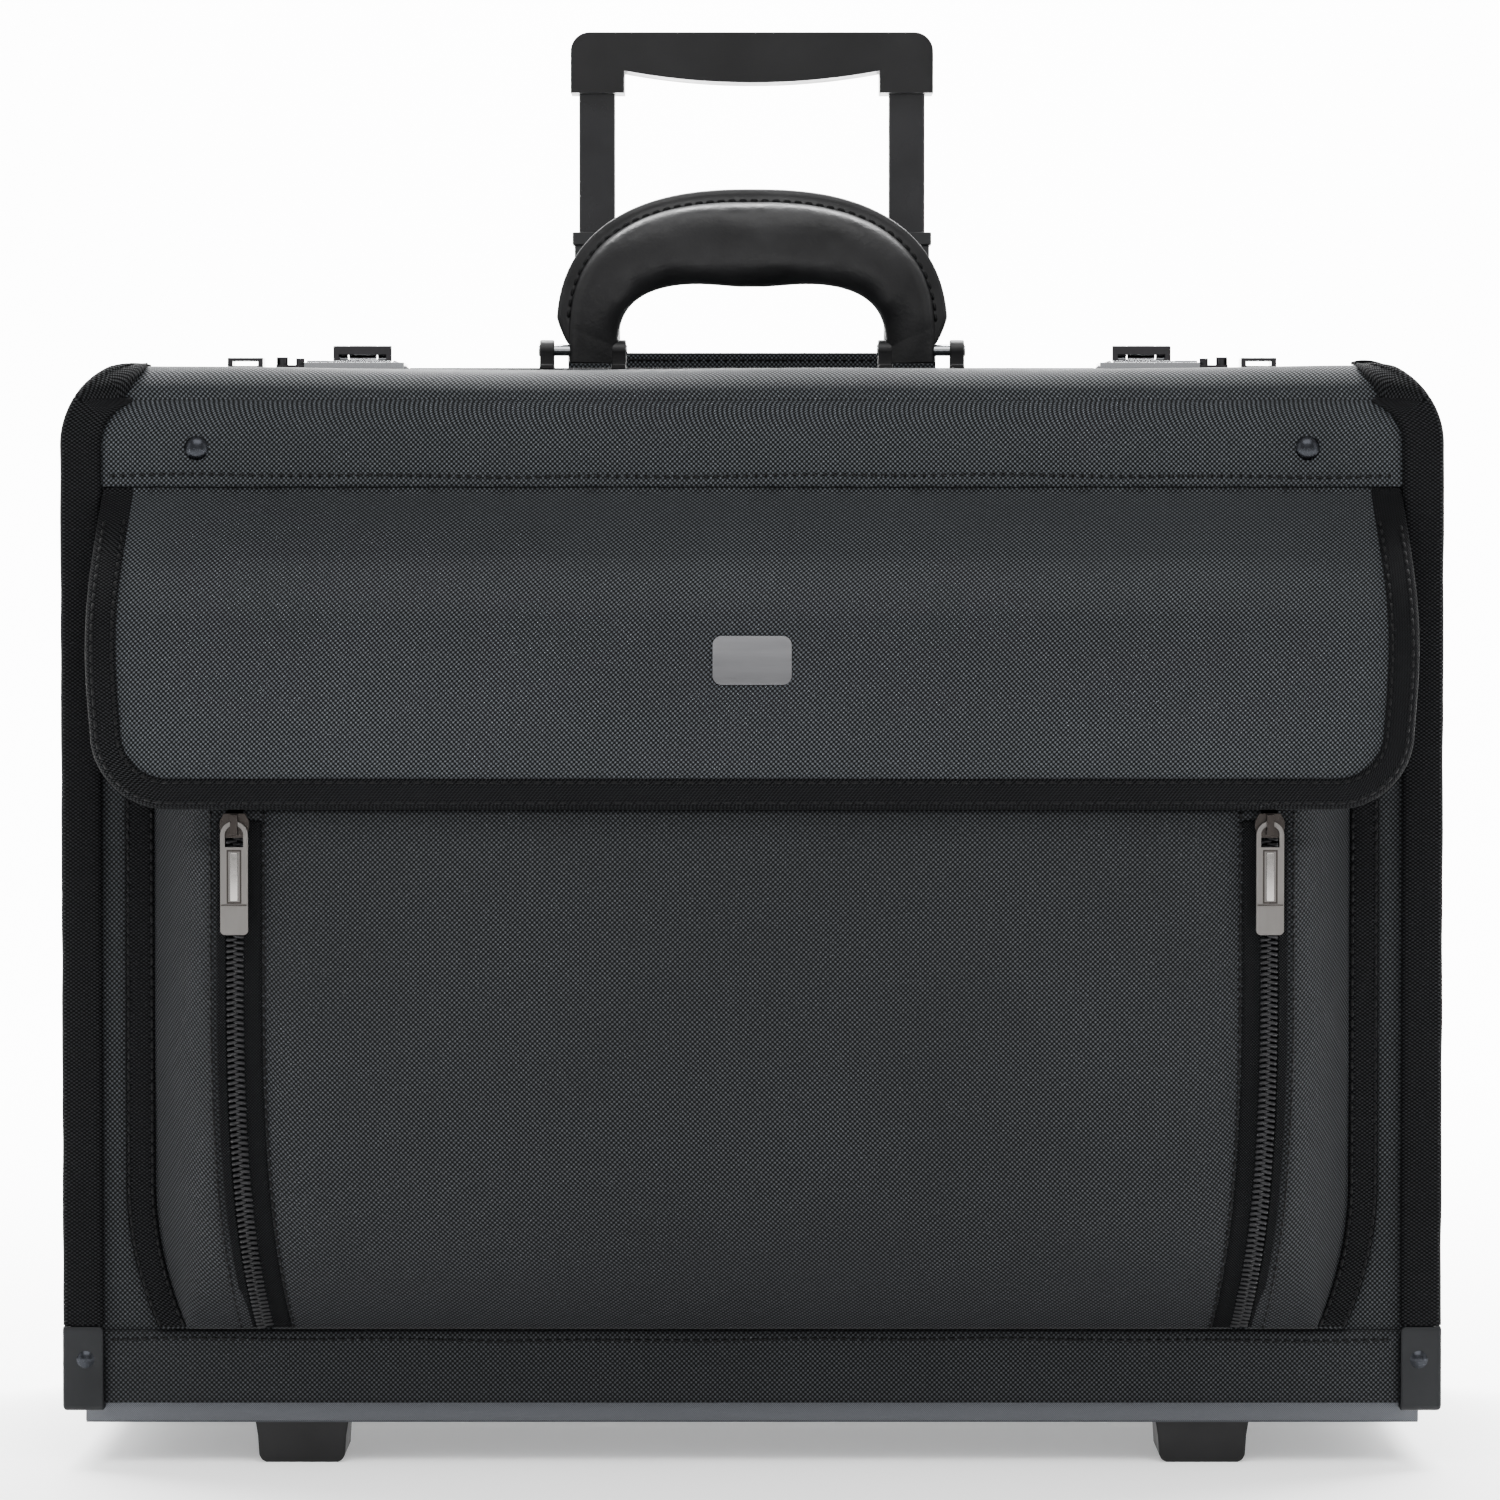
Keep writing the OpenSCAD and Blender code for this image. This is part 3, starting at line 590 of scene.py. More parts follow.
# %% The rear lid skin
radius = back / 2 - 0.3
lid_z = top - arch_d
cut = back - np.sqrt(radius ** 2 - (top - 0.5 - lid_z) ** 2)
v = np.linspace(0, 1, 36)[:, None]
Y = cut + v * (rear_end - cut)
X = np.broadcast_to(arch_x, Y.shape)
soft = np.clip((deep - arch_d) / deep, 0, 1) * np.sin(np.pi * v) * np.clip((bend_x - np.abs(X)) / 40, 0, 1)
Z = lid_z - soft * (0.5 + ripple(X, Y, 30, 0.3, 2))
sheet("rear_lid_skin", place(X, Y, Z), "rear_lid", cloth, 3.2)
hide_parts("rear_lid_shell")
print("rear lid skin rows and columns:", X.shape)

# %% [markdown]
# ## Binding tape
# Webbing is folded round every raw edge of the cloth. A curve with a bevel would turn the tape
# as it bends, so each tape is a row of cross-sections instead: one wing lies on the front, the
# fold stands a little proud, the other wing lies on the side. On the lid the same tape follows
# the nose and narrows until it has turned on to the top.

# %% Cross-sections of a folded tape
def folded_tape(name, body, side, path_x, path_z, turn, wing, start, deep_side, front_y):
    """Cross-sections across an edge at path points; turn is the edge normal's angle from upright.

    The front wing runs from start to wing along the inward normal, lifted 1.1 off front_y(z);
    a quarter round joins it to the side wing, which runs back to deep_side.
    """
    s = np.linspace(1, 0, 9)[None]
    inward = start[:, None] + s * (wing - start)[:, None]
    x = path_x[:, None] - inward * np.sin(turn)[:, None]
    z = path_z[:, None] - inward * np.cos(turn)[:, None]
    puff = 0.35 * np.sin(np.pi * np.clip(s, 0, 1)) ** 0.6
    lifted = np.clip(np.sin(turn) * 2.2, 0.05, 1)[:, None]
    y = front_y(z) - (1.0 + puff - 0.7 * (s == 1)) * lifted
    bulge = ripple(path_z + path_x, path_x, 9, 0.16, side + 2)[:, None]
    q = np.radians(np.linspace(15, 90, 6))[None]
    has_side = np.clip(np.sin(turn) * 2.2, 0, 1)[:, None] * (deep_side > 0.5)[:, None]
    out = (1.7 * np.sin(q) + bulge) * has_side - 0.8 * (1 - lifted)
    edge_x = path_x[:, None] - start[:, None] * np.sin(turn)[:, None] + out * np.sin(turn)[:, None]
    edge_z = path_z[:, None] - start[:, None] * np.cos(turn)[:, None] + out * np.cos(turn)[:, None]
    edge_y = front_y(edge_z * 0 + path_z[:, None]) - 1.0 * lifted + 2.6 * (1 - np.cos(q)) * has_side
    t = np.linspace(0.12, 1, 8)[None]
    back_out = (1.7 - 0.9 * t ** 8 + bulge) * has_side - 0.8 * (1 - lifted)
    back_x = path_x[:, None] - (start[:, None] - back_out) * np.sin(turn)[:, None]
    back_z = path_z[:, None] - (start[:, None] - back_out) * np.cos(turn)[:, None]
    back_y = edge_y[:, -1:] + t * (deep_side[:, None] - 1.6) * (deep_side > 0.5)[:, None]
    points = place(np.concatenate([x, edge_x, back_x], 1) * side,
                   np.concatenate([y, edge_y, back_y], 1), np.concatenate([z, edge_z, back_z], 1))
    return sheet(name, points, body, binding, 0.9, flip=side > 0)


def on_board(z):
    """The front board is flat: the same depth at every height."""
    return np.full(np.shape(z), face)


# %% The folded tapes round the front edges
tape_wing = 11
low_z = corner("left_edge_binding")[0][2] / MM
inner_end = math.acos((crease - side_top) / (bend - tape_wing))
split_turn = math.acos((crease - side_top) / bend)
arc = np.concatenate([np.linspace(np.pi / 2, split_turn, 24),
                      np.linspace(split_turn - 0.001, inner_end, 24)])
straight = np.linspace(low_z, side_top, 130)
path_turn = np.concatenate([np.full(130, np.pi / 2), arc[1:]])
path_x = np.concatenate([np.full(130, half_w), bend_x + bend * np.sin(arc[1:])])
path_z = np.concatenate([straight, side_top + bend * np.cos(arc[1:])])
over = np.clip((path_z - crease) / np.maximum(np.cos(path_turn), 0.05), 0, tape_wing)
side_wing = np.where(path_z < crease + 0.001,
                     np.interp(path_z, [side_top - 6, side_top - 1], [tape_wing, 4.2]), 0)
lid_arc = np.linspace(math.acos((crease + 0.05 - side_top) / bend), np.radians(2), 60)
lid_x, lid_zz = bend_x + bend * np.sin(lid_arc), side_top + bend * np.cos(lid_arc)
lid_wing = np.minimum(tape_wing * np.clip((lid_arc - np.radians(1)) / np.radians(34), 0, 1) ** 0.7,
                      (lid_zz - crease - 0.05) / np.cos(lid_arc))
for side, hand in ((-1, "left"), (1, "right")):
    folded_tape(hand + "_front_tape", "case", side, path_x, path_z, path_turn,
                np.full(len(path_z), float(tape_wing)), over, side_wing, on_board)
    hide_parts(hand + "_edge_binding")
    folded_tape(hand + "_lid_tape", "front_lid", side, lid_x, lid_zz, lid_arc, lid_wing,
                np.zeros(60), np.full(60, 12.5), nose_front)
    for inset in (9.4, 1.6):
        line_x = path_x - inset * np.sin(path_turn)
        line_z = path_z - inset * np.cos(path_turn)
        ok = line_z < crease - 1
        seam(f"{hand}_tape_seam_{int(inset)}", place(line_x[ok] * side, face - 1.25, line_z[ok]),
             (0, -1, 0), "case", length=2.6, gap=1.1)
print("front tapes: 2 on the case, 2 on the lid")

# %% [markdown]
# ## Bands across the front
# The cloth of the lid comes down over the front board and ends in a raw hem that hides the top
# of the flap. A second band closes the foot. The frame has both as flat boards. Cloth is never
# that flat, so both are rippled sheets with a thickness, and the hem gets its seam and the short
# fibres that fray out of a cut edge.

# %% Hem band and base band
def band(name, z_rows, half, y, lift, node, material):
    """A flat strip of cloth: x = half-width of the row times -1 to 1, y lifted by a ripple."""
    u = np.linspace(-1, 1, 160)[None]
    z = z_rows[:, None]
    x = u * half[:, None]
    quiet = np.clip((crease + 0.1 - z) / 12, 0, 1)
    obj = sheet(name, place(x, y - lift - quiet * np.abs(ripple(x, z, 21, 0.22, 4)), z), "case",
                material, 1.3)
    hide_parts(node)


hem_z = np.linspace(hinge + 2.2, crease + 0.1, 24)
hem_inset = 10.6
hem_round = np.sqrt(np.maximum((bend - hem_inset) ** 2 - (hem_z - side_top) ** 2, 0))
hem_half = np.where(hem_z > side_top, bend_x + hem_round, half_w - hem_inset)
hem_lift = np.interp(hem_z, [hem_z[0], hem_z[0] + 3, hem_z[-1] - 8, hem_z[-1]], [0.5, 0.2, 0.15, 0.15])
band("hem_cloth", hem_z, hem_half, face + 0.15, hem_lift[:, None], "hem_band", cloth)
base_z = np.linspace(foot + 0.2, hem_low - 0.7, 12)
band("base_cloth", base_z, np.full(12, half_w - 11.2), face + 0.15, 0.1, "base_band", shaded_nylon)
line_x = np.linspace(-215, 215, 300)
for height, name in ((hinge + 5.8, "hem_seam"), (hem_low - 3.6, "base_seam")):
    wave = 0.35 * np.sin(line_x / 37) + 0.2 * np.sin(line_x / 11)
    seam(name, place(line_x, face - 0.35, height + wave), (0, -1, 0), "case", gap=1.0)
print("hem from", round(hem_z[0], 1), "to", round(hem_z[-1], 1), "mm up")

# %% Fibres along the raw hem
rng = np.random.default_rng(7)
count = 420
fibre_x = rng.uniform(-214, 214, count)
tilt = rng.normal(0, 0.5, count)
long = rng.uniform(0.8, 2.6, count)
fibre = np.array([[0, -1, 0], [0, 1, 0], [0.5, 0.8, 0.3],
                  [0.5, -0.8, 0.3], [1, 0.3, 0.1], [1, -0.3, 0.1]])
fibre_faces = np.array([[0, 1, 2, 3], [3, 2, 4, 5]])
down = unit(np.stack([np.sin(tilt), -0.25 * np.ones(count), -np.cos(tilt)], 1))
across = unit(np.cross(down, np.array([0, 1.0, 0])))
fibre_axes = np.stack([down * long[:, None] * MM, across * 0.09 * MM, np.cross(down, across) * MM], 1)
roots = place(fibre_x, face - 1.0, np.full(count, hinge + 2.4))
fibres = repeats("hem_fibres", fibre, fibre_faces, roots, fibre_axes)
fray = fibres.modifiers.new("thickness", "SOLIDIFY")
fray.thickness = 0.06 * MM
finish_piece(fibres, "case", thread)
print("fibres:", count)

# %% [markdown]
# ## The flap
# The flap is a padded sheet that drops forward from under the hem and hangs in one long curve.
# It could be a bent board, but its edge would then be too even. So two curves give its distance
# forward and its half width at each height: narrow at the top, bellied at the middle, with two
# round corners below. A folded webbing tape follows the outline, and its seam runs inside it.

# %% The flap's curves and outline
flap_reach = 36.0
round_r = 25.0


def flap_front(z):
    """Distance forward at height z: falls away quickly, then hangs: h + b(1 - (1 - t)^3.2)."""
    t = np.clip((hinge - z) / (hinge - flap_low), 0, 1)
    return face - 0.3 - flap_reach * (1 - (1 - t) ** 3.2)


def flap_half_at(z):
    """Half width of the flap: almost straight, with a swell of 3 mm around its middle."""
    t = np.clip((hinge - z) / (hinge - flap_low), 0, 1)
    return flap_half - 0.9 + 2.9 * np.sin(np.pi * np.clip(t * 1.12, 0, 1)) ** 1.4


def flap_outline(n_side, n_turn, n_low):
    """The outline from the upper left, down, round both corners and up: points and inward normals."""
    z = np.linspace(hinge + 1.7, flap_low + round_r, n_side)
    left = np.stack([-flap_half_at(z), z], 1)
    a = np.linspace(0, np.pi / 2, n_turn)[1:]
    cx = flap_half_at(np.array(flap_low + round_r)) - round_r
    turned = np.stack([-cx - round_r * np.cos(a), flap_low + round_r - round_r * np.sin(a)], 1)
    x = np.linspace(-cx, cx, n_low)[1:]
    bottom = np.stack([x, np.full(len(x), flap_low)], 1)
    half = np.concatenate([left, turned])
    path = np.concatenate([half, bottom[:-1], half[::-1] * [-1, 1]])
    way = unit(np.gradient(path, axis=0))
    return path, np.stack([-way[:, 1], way[:, 0]], 1)


# %% The flap's cloth
u = np.sin(np.linspace(-np.pi / 2, np.pi / 2, 150))
w_x = flap_half_at(np.array(flap_low + round_r)) - 2.0
v = np.linspace(0, 1, 90)[:, None]
t_low = np.clip((np.abs(u) * w_x - (w_x - round_r + 2)) / (round_r - 2), 0, 1)
z_low = flap_low + 1.5 + (round_r - 2) * (1 - np.sqrt(1 - t_low ** 2)) * 0.98
Z = (hinge + 1.9) + v ** 0.9 * (z_low - hinge - 1.9)
X = u * (flap_half_at(Z) - 2.0)
puff = 1.0 * np.clip((1 - np.abs(X / flap_half) ** 10), 0, 1) * np.clip((Z - z_low) / 14, 0, 1) ** 0.5
Y = flap_front(Z) - puff * np.clip((hinge - 4 - Z) / 20, 0, 1) - ripple(X, Z, 34, 0.35, 3) * puff
Y = Y + 0.25 * np.clip(Z - hinge, 0, 2)
obj = sheet("flap_cloth", place(X, Y, Z), "pocket_flap", cloth, 3.2, flip=True, rounded=0.5)
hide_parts("flap_panel")
print("flap cloth:", X.shape, "front at", round(float(Y.min()), 1))

# %% The flap's folded tape and its seam
path, inward = flap_outline(70, 26, 180)
profile = np.array([(9.5, 0.9), (9.2, 1.35), (7.5, 1.75), (4.5, 1.9), (1.8, 1.75), (0.3, 1.1),
                    (-0.5, 0.0), (-0.8, -1.4), (-0.4, -3.0), (0.6, -4.0), (3.0, -4.2), (8.0, -4.1),
                    (8.0, -3.5), (1.4, -3.2), (1.0, 0.1), (9.5, 0.3)])
x = path[:, :1] + inward[:, :1] * profile[None, :, 0]
z = path[:, 1:] + inward[:, 1:] * profile[None, :, 0]
swell = ripple(path[:, :1] + path[:, 1:], path[:, :1], 8, 0.12, 6)
tuck = np.clip((hinge - 6 - path[:, 1:]) / 14, 0.25, 1)
y = flap_front(z) - (profile[None, :, 1] + swell) * tuck
tape_obj = strip("flap_tape", place(x, y, z)[:, ::-1])
finish_piece(tape_obj, "pocket_flap", binding)
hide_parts("flap_binding")
for inset, name in ((8.2, "flap_seam"), (1.6, "flap_edge_seam")):
    sx, sz = path[:, 0] + inward[:, 0] * inset, path[:, 1] + inward[:, 1] * inset
    ok = sz < hinge - 8
    line = place(sx[ok], flap_front(sz[ok]) - 1.75, sz[ok])
    seam(name, line, (0, -1, 0.25), "pocket_flap", length=2.3, gap=1.3)
print("flap outline points:", len(path))

# %% [markdown]
# ## The front pocket
# The pocket stands off the body. Its sides slope back to a bound flange, its face drops open
# between two zips, and everything pinches in towards the foot. Joining separate panels would
# leave gaps at the foot, so the side wall is one surface: the least of three depths (the sloping
# side, the rounded foot, the room under the flap), joined smoothly.

# %% Curves that the pocket shares
pocket_foot, pocket_swell = 3, 27
zip_x, zip_drift = 170.6, 8
flange_x, flange_drift = 209, 11


def pocket_depth(z):
    """How far the face stands forward at height z: 3 mm at the foot, 30 mm from 64 mm up."""
    return pocket_foot + pocket_swell * (1 - np.clip(1 - (z - hem_low) / 64, 0, 1) ** 2.6)


def zip_line(z):
    """Middle of the zip: straight above, drifting inwards towards the foot by a power of 2.2."""
    return zip_x - zip_drift * np.clip((160 - z) / 114, 0, 1) ** 2.2


def flange_line(z):
    """Outer edge of the flange: straight, then curving in over the last 50 mm by a power of 2.1."""
    return flange_x - flange_drift * np.clip((96 - z) / 50, 0, 1) ** 2.1


def soft_least(depths, power=5.0):
    """The least of several depths with soft corners: (sum of d^-p)^(-1/p)."""
    return sum(np.maximum(d, 0.3) ** -power for d in depths) ** (-1 / power)


# %% The pocket's side walls and their bound flanges
z_rows = np.concatenate([np.linspace(hem_low + 0.3, 110, 60),
                         np.linspace(110, hinge - 11, 90)[1:]])[:, None]
s = np.linspace(0, 1, 60)[None]
for side, hand in ((-1, "left"), (1, "right")):
    zip_edge, outer = zip_line(z_rows) + 2.9, flange_line(z_rows)
    X = zip_edge + s * (outer - zip_edge)
    plan = s * 35.1
    slope = np.clip((plan - 5.5) / 20.5, 0, 1)
    plan_depth = 31.5 - 29 * (slope ** 1.15)
    room = np.where(z_rows > flap_low - 12, -flap_front(np.maximum(z_rows, flap_low)) - 4.4, 60.0)
    depth = soft_least([plan_depth, pocket_depth(z_rows) + 0.6, room])
    depth = np.where(plan > 26, 2.6, depth)
    depth = depth - np.clip(np.sin(np.pi * slope), 0, 1) * ripple(z_rows, X, 16, 0.9, 7 + side)
    obj = sheet(f"{hand}_pocket_side", place(X * side, -depth, z_rows), "case", shaded_nylon, 1.4,
                flip=side < 0)
    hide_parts(f"{hand}_pocket_wall")
    # flange tape: a flat ribbon, 10 mm wide, over the edge of the side wall
    zr = np.linspace(hem_low + 1, hinge - 12, 150)[:, None]
    q = np.linspace(-1, 1, 11)[None]
    bx = flange_line(zr) - 4.5 + 5.1 * q
    by = -2.5 - 1.5 * (1 - np.abs(q) ** 6) - ripple(zr, bx, 9, 0.12, 9)
    sheet(f"{hand}_flange_tape", place(bx * side, by, zr), "case", binding, 0.7,
          flip=side < 0)
    for k in (-1, 1):
        line_x = flange_line(zr[:, 0]) - 4.5 + 3.9 * k
        seam(f"{hand}_flange_seam_{'in' if k < 0 else 'out'}", place(line_x * side, -3.9, zr[:, 0]),
             (0, -1, 0), "case", length=2.4, gap=1.1)
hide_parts("pocket_bindings")
print("side walls:", X.shape, "deepest", round(float(depth.max()), 1))

# %% [markdown]
# ## The drop panel
# The pocket's face is a lightly padded panel that pulls in along its two sewn edges. A cushion
# from a simulation would lose the edge that the zips need, so a crown that rises quickly inside
# the seams is added to the pocket's own curve, with a few shallow folds near the foot.

# %% The drop panel and the seams beside the zips
rows = np.concatenate([np.linspace(hem_low + 0.2, 100, 50),
                       np.linspace(100, panel_top, 60)[1:]])[:, None]
u = np.sin(np.linspace(-np.pi / 2, np.pi / 2, 190))[None]
half = zip_line(rows) - 2.7
X = u * half
seam_x = zip_line(rows) - 9.6
inside = np.clip(1 - np.abs(X / seam_x), 0, 1)
crown = np.sin(np.clip(inside * 9, 0, 1) * np.pi / 2) ** 0.8
up_face = np.clip((rows - hem_low - 2) / (panel_top - hem_low + 22), 0, 1)
rise = np.clip(np.sin(np.pi * up_face), 0, 1) ** 0.55
low_folds = 0.35 * np.sin(rows / 9 + 0.8 * np.sin(X / 60)) * np.exp(-((rows - 90) / 45) ** 2)
fold = ripple(X, rows, 42, 0.5, 11) + low_folds
Y = -pocket_depth(rows) - crown * rise * (4.6 - fold)
obj = sheet("drop_panel_cloth", place(X, Y, rows), "pocket_panel", shaded_nylon, 2.0)
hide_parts("drop_panel")
for side, hand in ((-1, "left"), (1, "right")):
    z = rows[:, 0]
    x = zip_line(z)
    seam(f"{hand}_panel_seam", place((x - 9.4) * side, -pocket_depth(z) - 0.5, z), (0, -1, 0.1),
         "pocket_panel", gap=1.1)
    wall_y = -np.minimum(pocket_depth(z) + 0.5, 29.6)
    seam(f"{hand}_wall_seam", place((x + 8.2) * side, wall_y, z), (0, -1, 0.1),
         "case", gap=1.1)
print("drop panel:", X.shape, "front at", round(float(Y.min()), 1))

# %% [markdown]
# ## The zips
# A coil zip is two rows of bent nylon loops sewn to woven tapes, meshed like a chain. A striped
# material would look flat from the side, and a true coil would cost thousands of faces. One loop
# is a small rounded tooth here; the two rows are half a pitch apart and lean to each other.

# %% One tooth
ring8 = np.linspace(0, 2 * np.pi, 8, endpoint=False)
tooth_rings = ((-0.5, 0.10, 0.10), (-0.4, 0.42, 0.42), (0.3, 0.42, 0.5), (0.5, 0.16, 0.2))
tooth = np.concatenate([np.stack([np.full(8, t), h * np.cos(ring8), r * np.sin(ring8)], 1)
                        for t, h, r in tooth_rings])
tooth_faces = grid_faces(4, 8, False, True)
print("one tooth has", len(tooth_faces), "faces")

# %% Zip tapes and the two rows of teeth
tooth_pitch = 0.95 * MM
for side, hand in ((-1, "left"), (1, "right")):
    z = np.linspace(hem_low + 1, panel_top - 4, 160)[:, None]
    for name, k, body, inner, wide in (("inner", -1, "pocket_panel", 0.35, 8.2),
                                       ("outer", 1, "case", 3.1, 5.6)):
        q = np.linspace(0, 1, 6)[None]
        x = zip_line(z) + k * (inner + q * (wide - inner + 0.5))
        y = -pocket_depth(z) - 0.75 + 0.35 * q + 0 * z
        y = np.maximum(y, -30.9) if k > 0 else y
        sheet(f"{hand}_zip_tape_{name}", place(x * side, y, z + 0 * x), body, tape, 0.5,
              flip=(side * k) < 0)
    spine = place(zip_line(z[:, 0]) * side, -pocket_depth(z[:, 0]) - 1.25, z[:, 0])
    points, way = walk(spine, tooth_pitch, 0.5 * MM, 0.5 * MM)
    hands = np.where(np.arange(len(points)) % 2 == 0, -1.0, 1.0)[:, None]
    out = np.array([0, -1.0, 0.0])
    side_way = unit(np.cross(out, way)) * hands
    lean = unit(side_way + 0.12 * way)
    up = unit(np.cross(lean, way)) * -hands
    places = points + side_way * -1.15 * MM
    axes = np.stack([lean * 3.6 * MM, unit(way) * 1.7 * MM, up * 1.9 * MM], 1)
    chain = repeats(f"{hand}_zip_teeth", tooth, tooth_faces, places, axes)
    finish_piece(chain, "pocket_panel", coil_plastic)
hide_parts("zip_chains")
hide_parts("zip_outer_tapes")
print("teeth a side:", len(points))

# %% [markdown]
# ## Sliders and pulls
# A pull is a stamped nickel bar with a raised, polished rib in a groove, and a shallow step
# across its lower end. A bump in the material would not stand up at the edge, so the groove's
# band, the rib and the step are small solids set on the rounded copy of the bar. The rib's lighter
# nickel is a painted highlight; the dark band in the groove and the dark step are painted shade.

# %% Sliders, pulls, and the band, rib and step on each pull
# corner numbers of a box whose eight corners count through z, then y, then x
box_faces = np.array([(0, 1, 3, 2), (4, 6, 7, 5), (0, 4, 5, 1), (2, 3, 7, 6), (0, 2, 6, 4), (1, 5, 7, 3)])
# the rib's lighter nickel is a painted highlight on the polished rib; the step is a thin dark bar, painted
# shade along the step's edge
pull_parts = (("rib", highlight_nickel, 1.25, 11.2, 27.2, 0.45), ("step", dark_nickel_and_shade, 4.2, 9.7, 10.05, 0.06))
for hand in ("left", "right"):
    softened(f"{hand}_zip_slider", f"zip_slider_{hand}", "nickel", dark_nickel_and_shade, 0.2 * MM)
    softened(f"{hand}_zip_pull", f"zip_pull_{hand}", "nickel", nickel, 0.16 * MM, 2)
    # painted shade in the groove round the rib: a thin dark closed band, x and z on a box with cut corners
    low, high = corner(f"{hand}_zip_pull")
    a = np.linspace(0, 2 * np.pi, 64, endpoint=False)
    wide, tall = 2.15, 8.6
    bx = np.sign(np.cos(a)) * np.minimum(np.abs(np.cos(a)) * 4, 1) * wide
    bz = np.sign(np.sin(a)) * np.minimum(np.abs(np.sin(a)) * 4, 1) * tall
    middle = (low[0] + high[0]) / 2 / MM
    band_x = middle + np.stack([bx - np.sign(bx) * 0.28, bx + np.sign(bx) * 0.28])
    band_z = low[2] / MM + 19.2 + np.stack([bz - np.sign(bz) * 0.28, bz + np.sign(bz) * 0.28])
    groove_y = low[1] / MM - front + 0.38
    points = np.concatenate([place(band_x, groove_y, band_z),
                             place(band_x, groove_y + 0.3, band_z)[::-1]])
    obj = mesh_object(f"{hand}_pull_groove_shade", points.reshape(-1, 3), grid_faces(4, 64, True, True)[:, ::-1])
    finish_piece(obj, f"zip_pull_{hand}", dark_nickel_and_shade, smooth=False)
    for piece, finish, half, start, end, proud in pull_parts:
        x, y, z = np.meshgrid([middle - half, middle + half],
                              [low[1] / MM - front - proud, low[1] / MM - front + 0.3],
                              [low[2] / MM + start, low[2] / MM + end], indexing="ij")
        bar = mesh_object(f"{hand}_pull_{piece}", place(x, y, z).reshape(-1, 3), box_faces)
        if piece == "rib":
            edge = bar.modifiers.new("edges", "BEVEL")
            edge.width, edge.segments = 0.3 * MM, 3
        finish_piece(bar, f"zip_pull_{hand}", finish)
print("pull from", round(low[2] / MM, 1), "to", round(high[2] / MM, 1), "mm up")

# %% [markdown]
# ## The carry handle
# Two skins of leather cloth are folded over a foam core and sewn along the outer edge, which
# leaves a flat flange outside the padded roll. A bevelled curve would be equally thick all the
# way, but this handle swells under the palm. So the roll is a stack of rounded cross-sections
# between two rounded arches: an outer one, and the opening under the hand.

# %% Arches of the handle
pin_y = (corner("handle_pins")[0][1] + corner("handle_pins")[1][1]) / 2 / MM - front
pin_z = (corner("handle_pins")[0][2] + corner("handle_pins")[1][2]) / 2 / MM
welt_x = corner("carry_handle_welt")[1][0] / MM
welt_top = corner("carry_handle_welt")[1][2] / MM


def arch_points(t, a, b, centre, n):
    """A rounded arch: x = a sgn(cos t)|cos t|^(2/n), z = centre + b |sin t|^(2/n)."""
    c, s = np.cos(t), np.sin(t)
    return np.stack([a * np.sign(c) * np.abs(c) ** (2 / n), centre + b * np.abs(s) ** (2 / n)], -1)


def leg_and_arch(a, b, centre, n, low, count=150):
    """The arch with a short straight leg added under each end."""
    t = np.pi - np.pi * (0.5 - 0.5 * np.cos(np.linspace(0, np.pi, count)))
    over = arch_points(t, a, b, centre, n)
    leg = np.linspace(low, centre, 12)[:-1]
    left = np.stack([np.full(11, -a), leg], 1)
    return np.concatenate([left, over, left[::-1] * [-1, 1]])


# %% The padded roll
shoulder = pin_z + 4.5
sewn_x, sewn_rise = welt_x - 4.6, welt_top - pin_z - 4.5 - 4.2
leg_low = pin_z - 4.6
outer = leg_and_arch(sewn_x, sewn_rise, shoulder, 2.5, leg_low)
inner = leg_and_arch(46.3, 27.2, pin_z - 3.5, 3.4, leg_low)
inner[:, 1] -= 2.0 * np.exp(-(inner[:, 0] / 17) ** 2) * (inner[:, 1] > pin_z + 15)
middle, reach = (outer + inner) / 2, (outer - inner) / 2
along_s = np.concatenate([[0], np.cumsum(np.linalg.norm(np.diff(middle, axis=0), axis=1))])
from_end = np.minimum(along_s, along_s[-1] - along_s)
deep_half = np.interp(from_end, [0, 9, 26, 60, along_s[-1] / 2], [4.3, 4.8, 8.2, 9.8, 10.4])
crease_at = (0.35 * np.sin(along_s / 3.1) * np.exp(-((from_end - 42) / 26) ** 2)
             + 0.22 * np.sin(along_s / 1.7 + 1) * np.exp(-((from_end - 70) / 22) ** 2))
a = np.linspace(0, 2 * np.pi, 44, endpoint=False)
ca, sa = np.cos(a), np.sin(a)
power = 2 / 2.5
lift = np.sign(ca) * np.abs(ca) ** power
wide = np.sign(sa) * np.abs(sa) ** power
x = middle[:, :1] + reach[:, :1] * lift
z = middle[:, 1:] + reach[:, 1:] * lift
y = pin_y + wide * (deep_half[:, None] + crease_at[:, None] * np.clip(-lift + 0.4, 0, 1)
                    + 0.25 * np.sin(along_s[:, None] / 6 + 3 * lift))
roll_obj = strip("handle_roll", place(x, y, z))
finish_piece(roll_obj, "carry_handle", leather)
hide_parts("carry_handle_core")

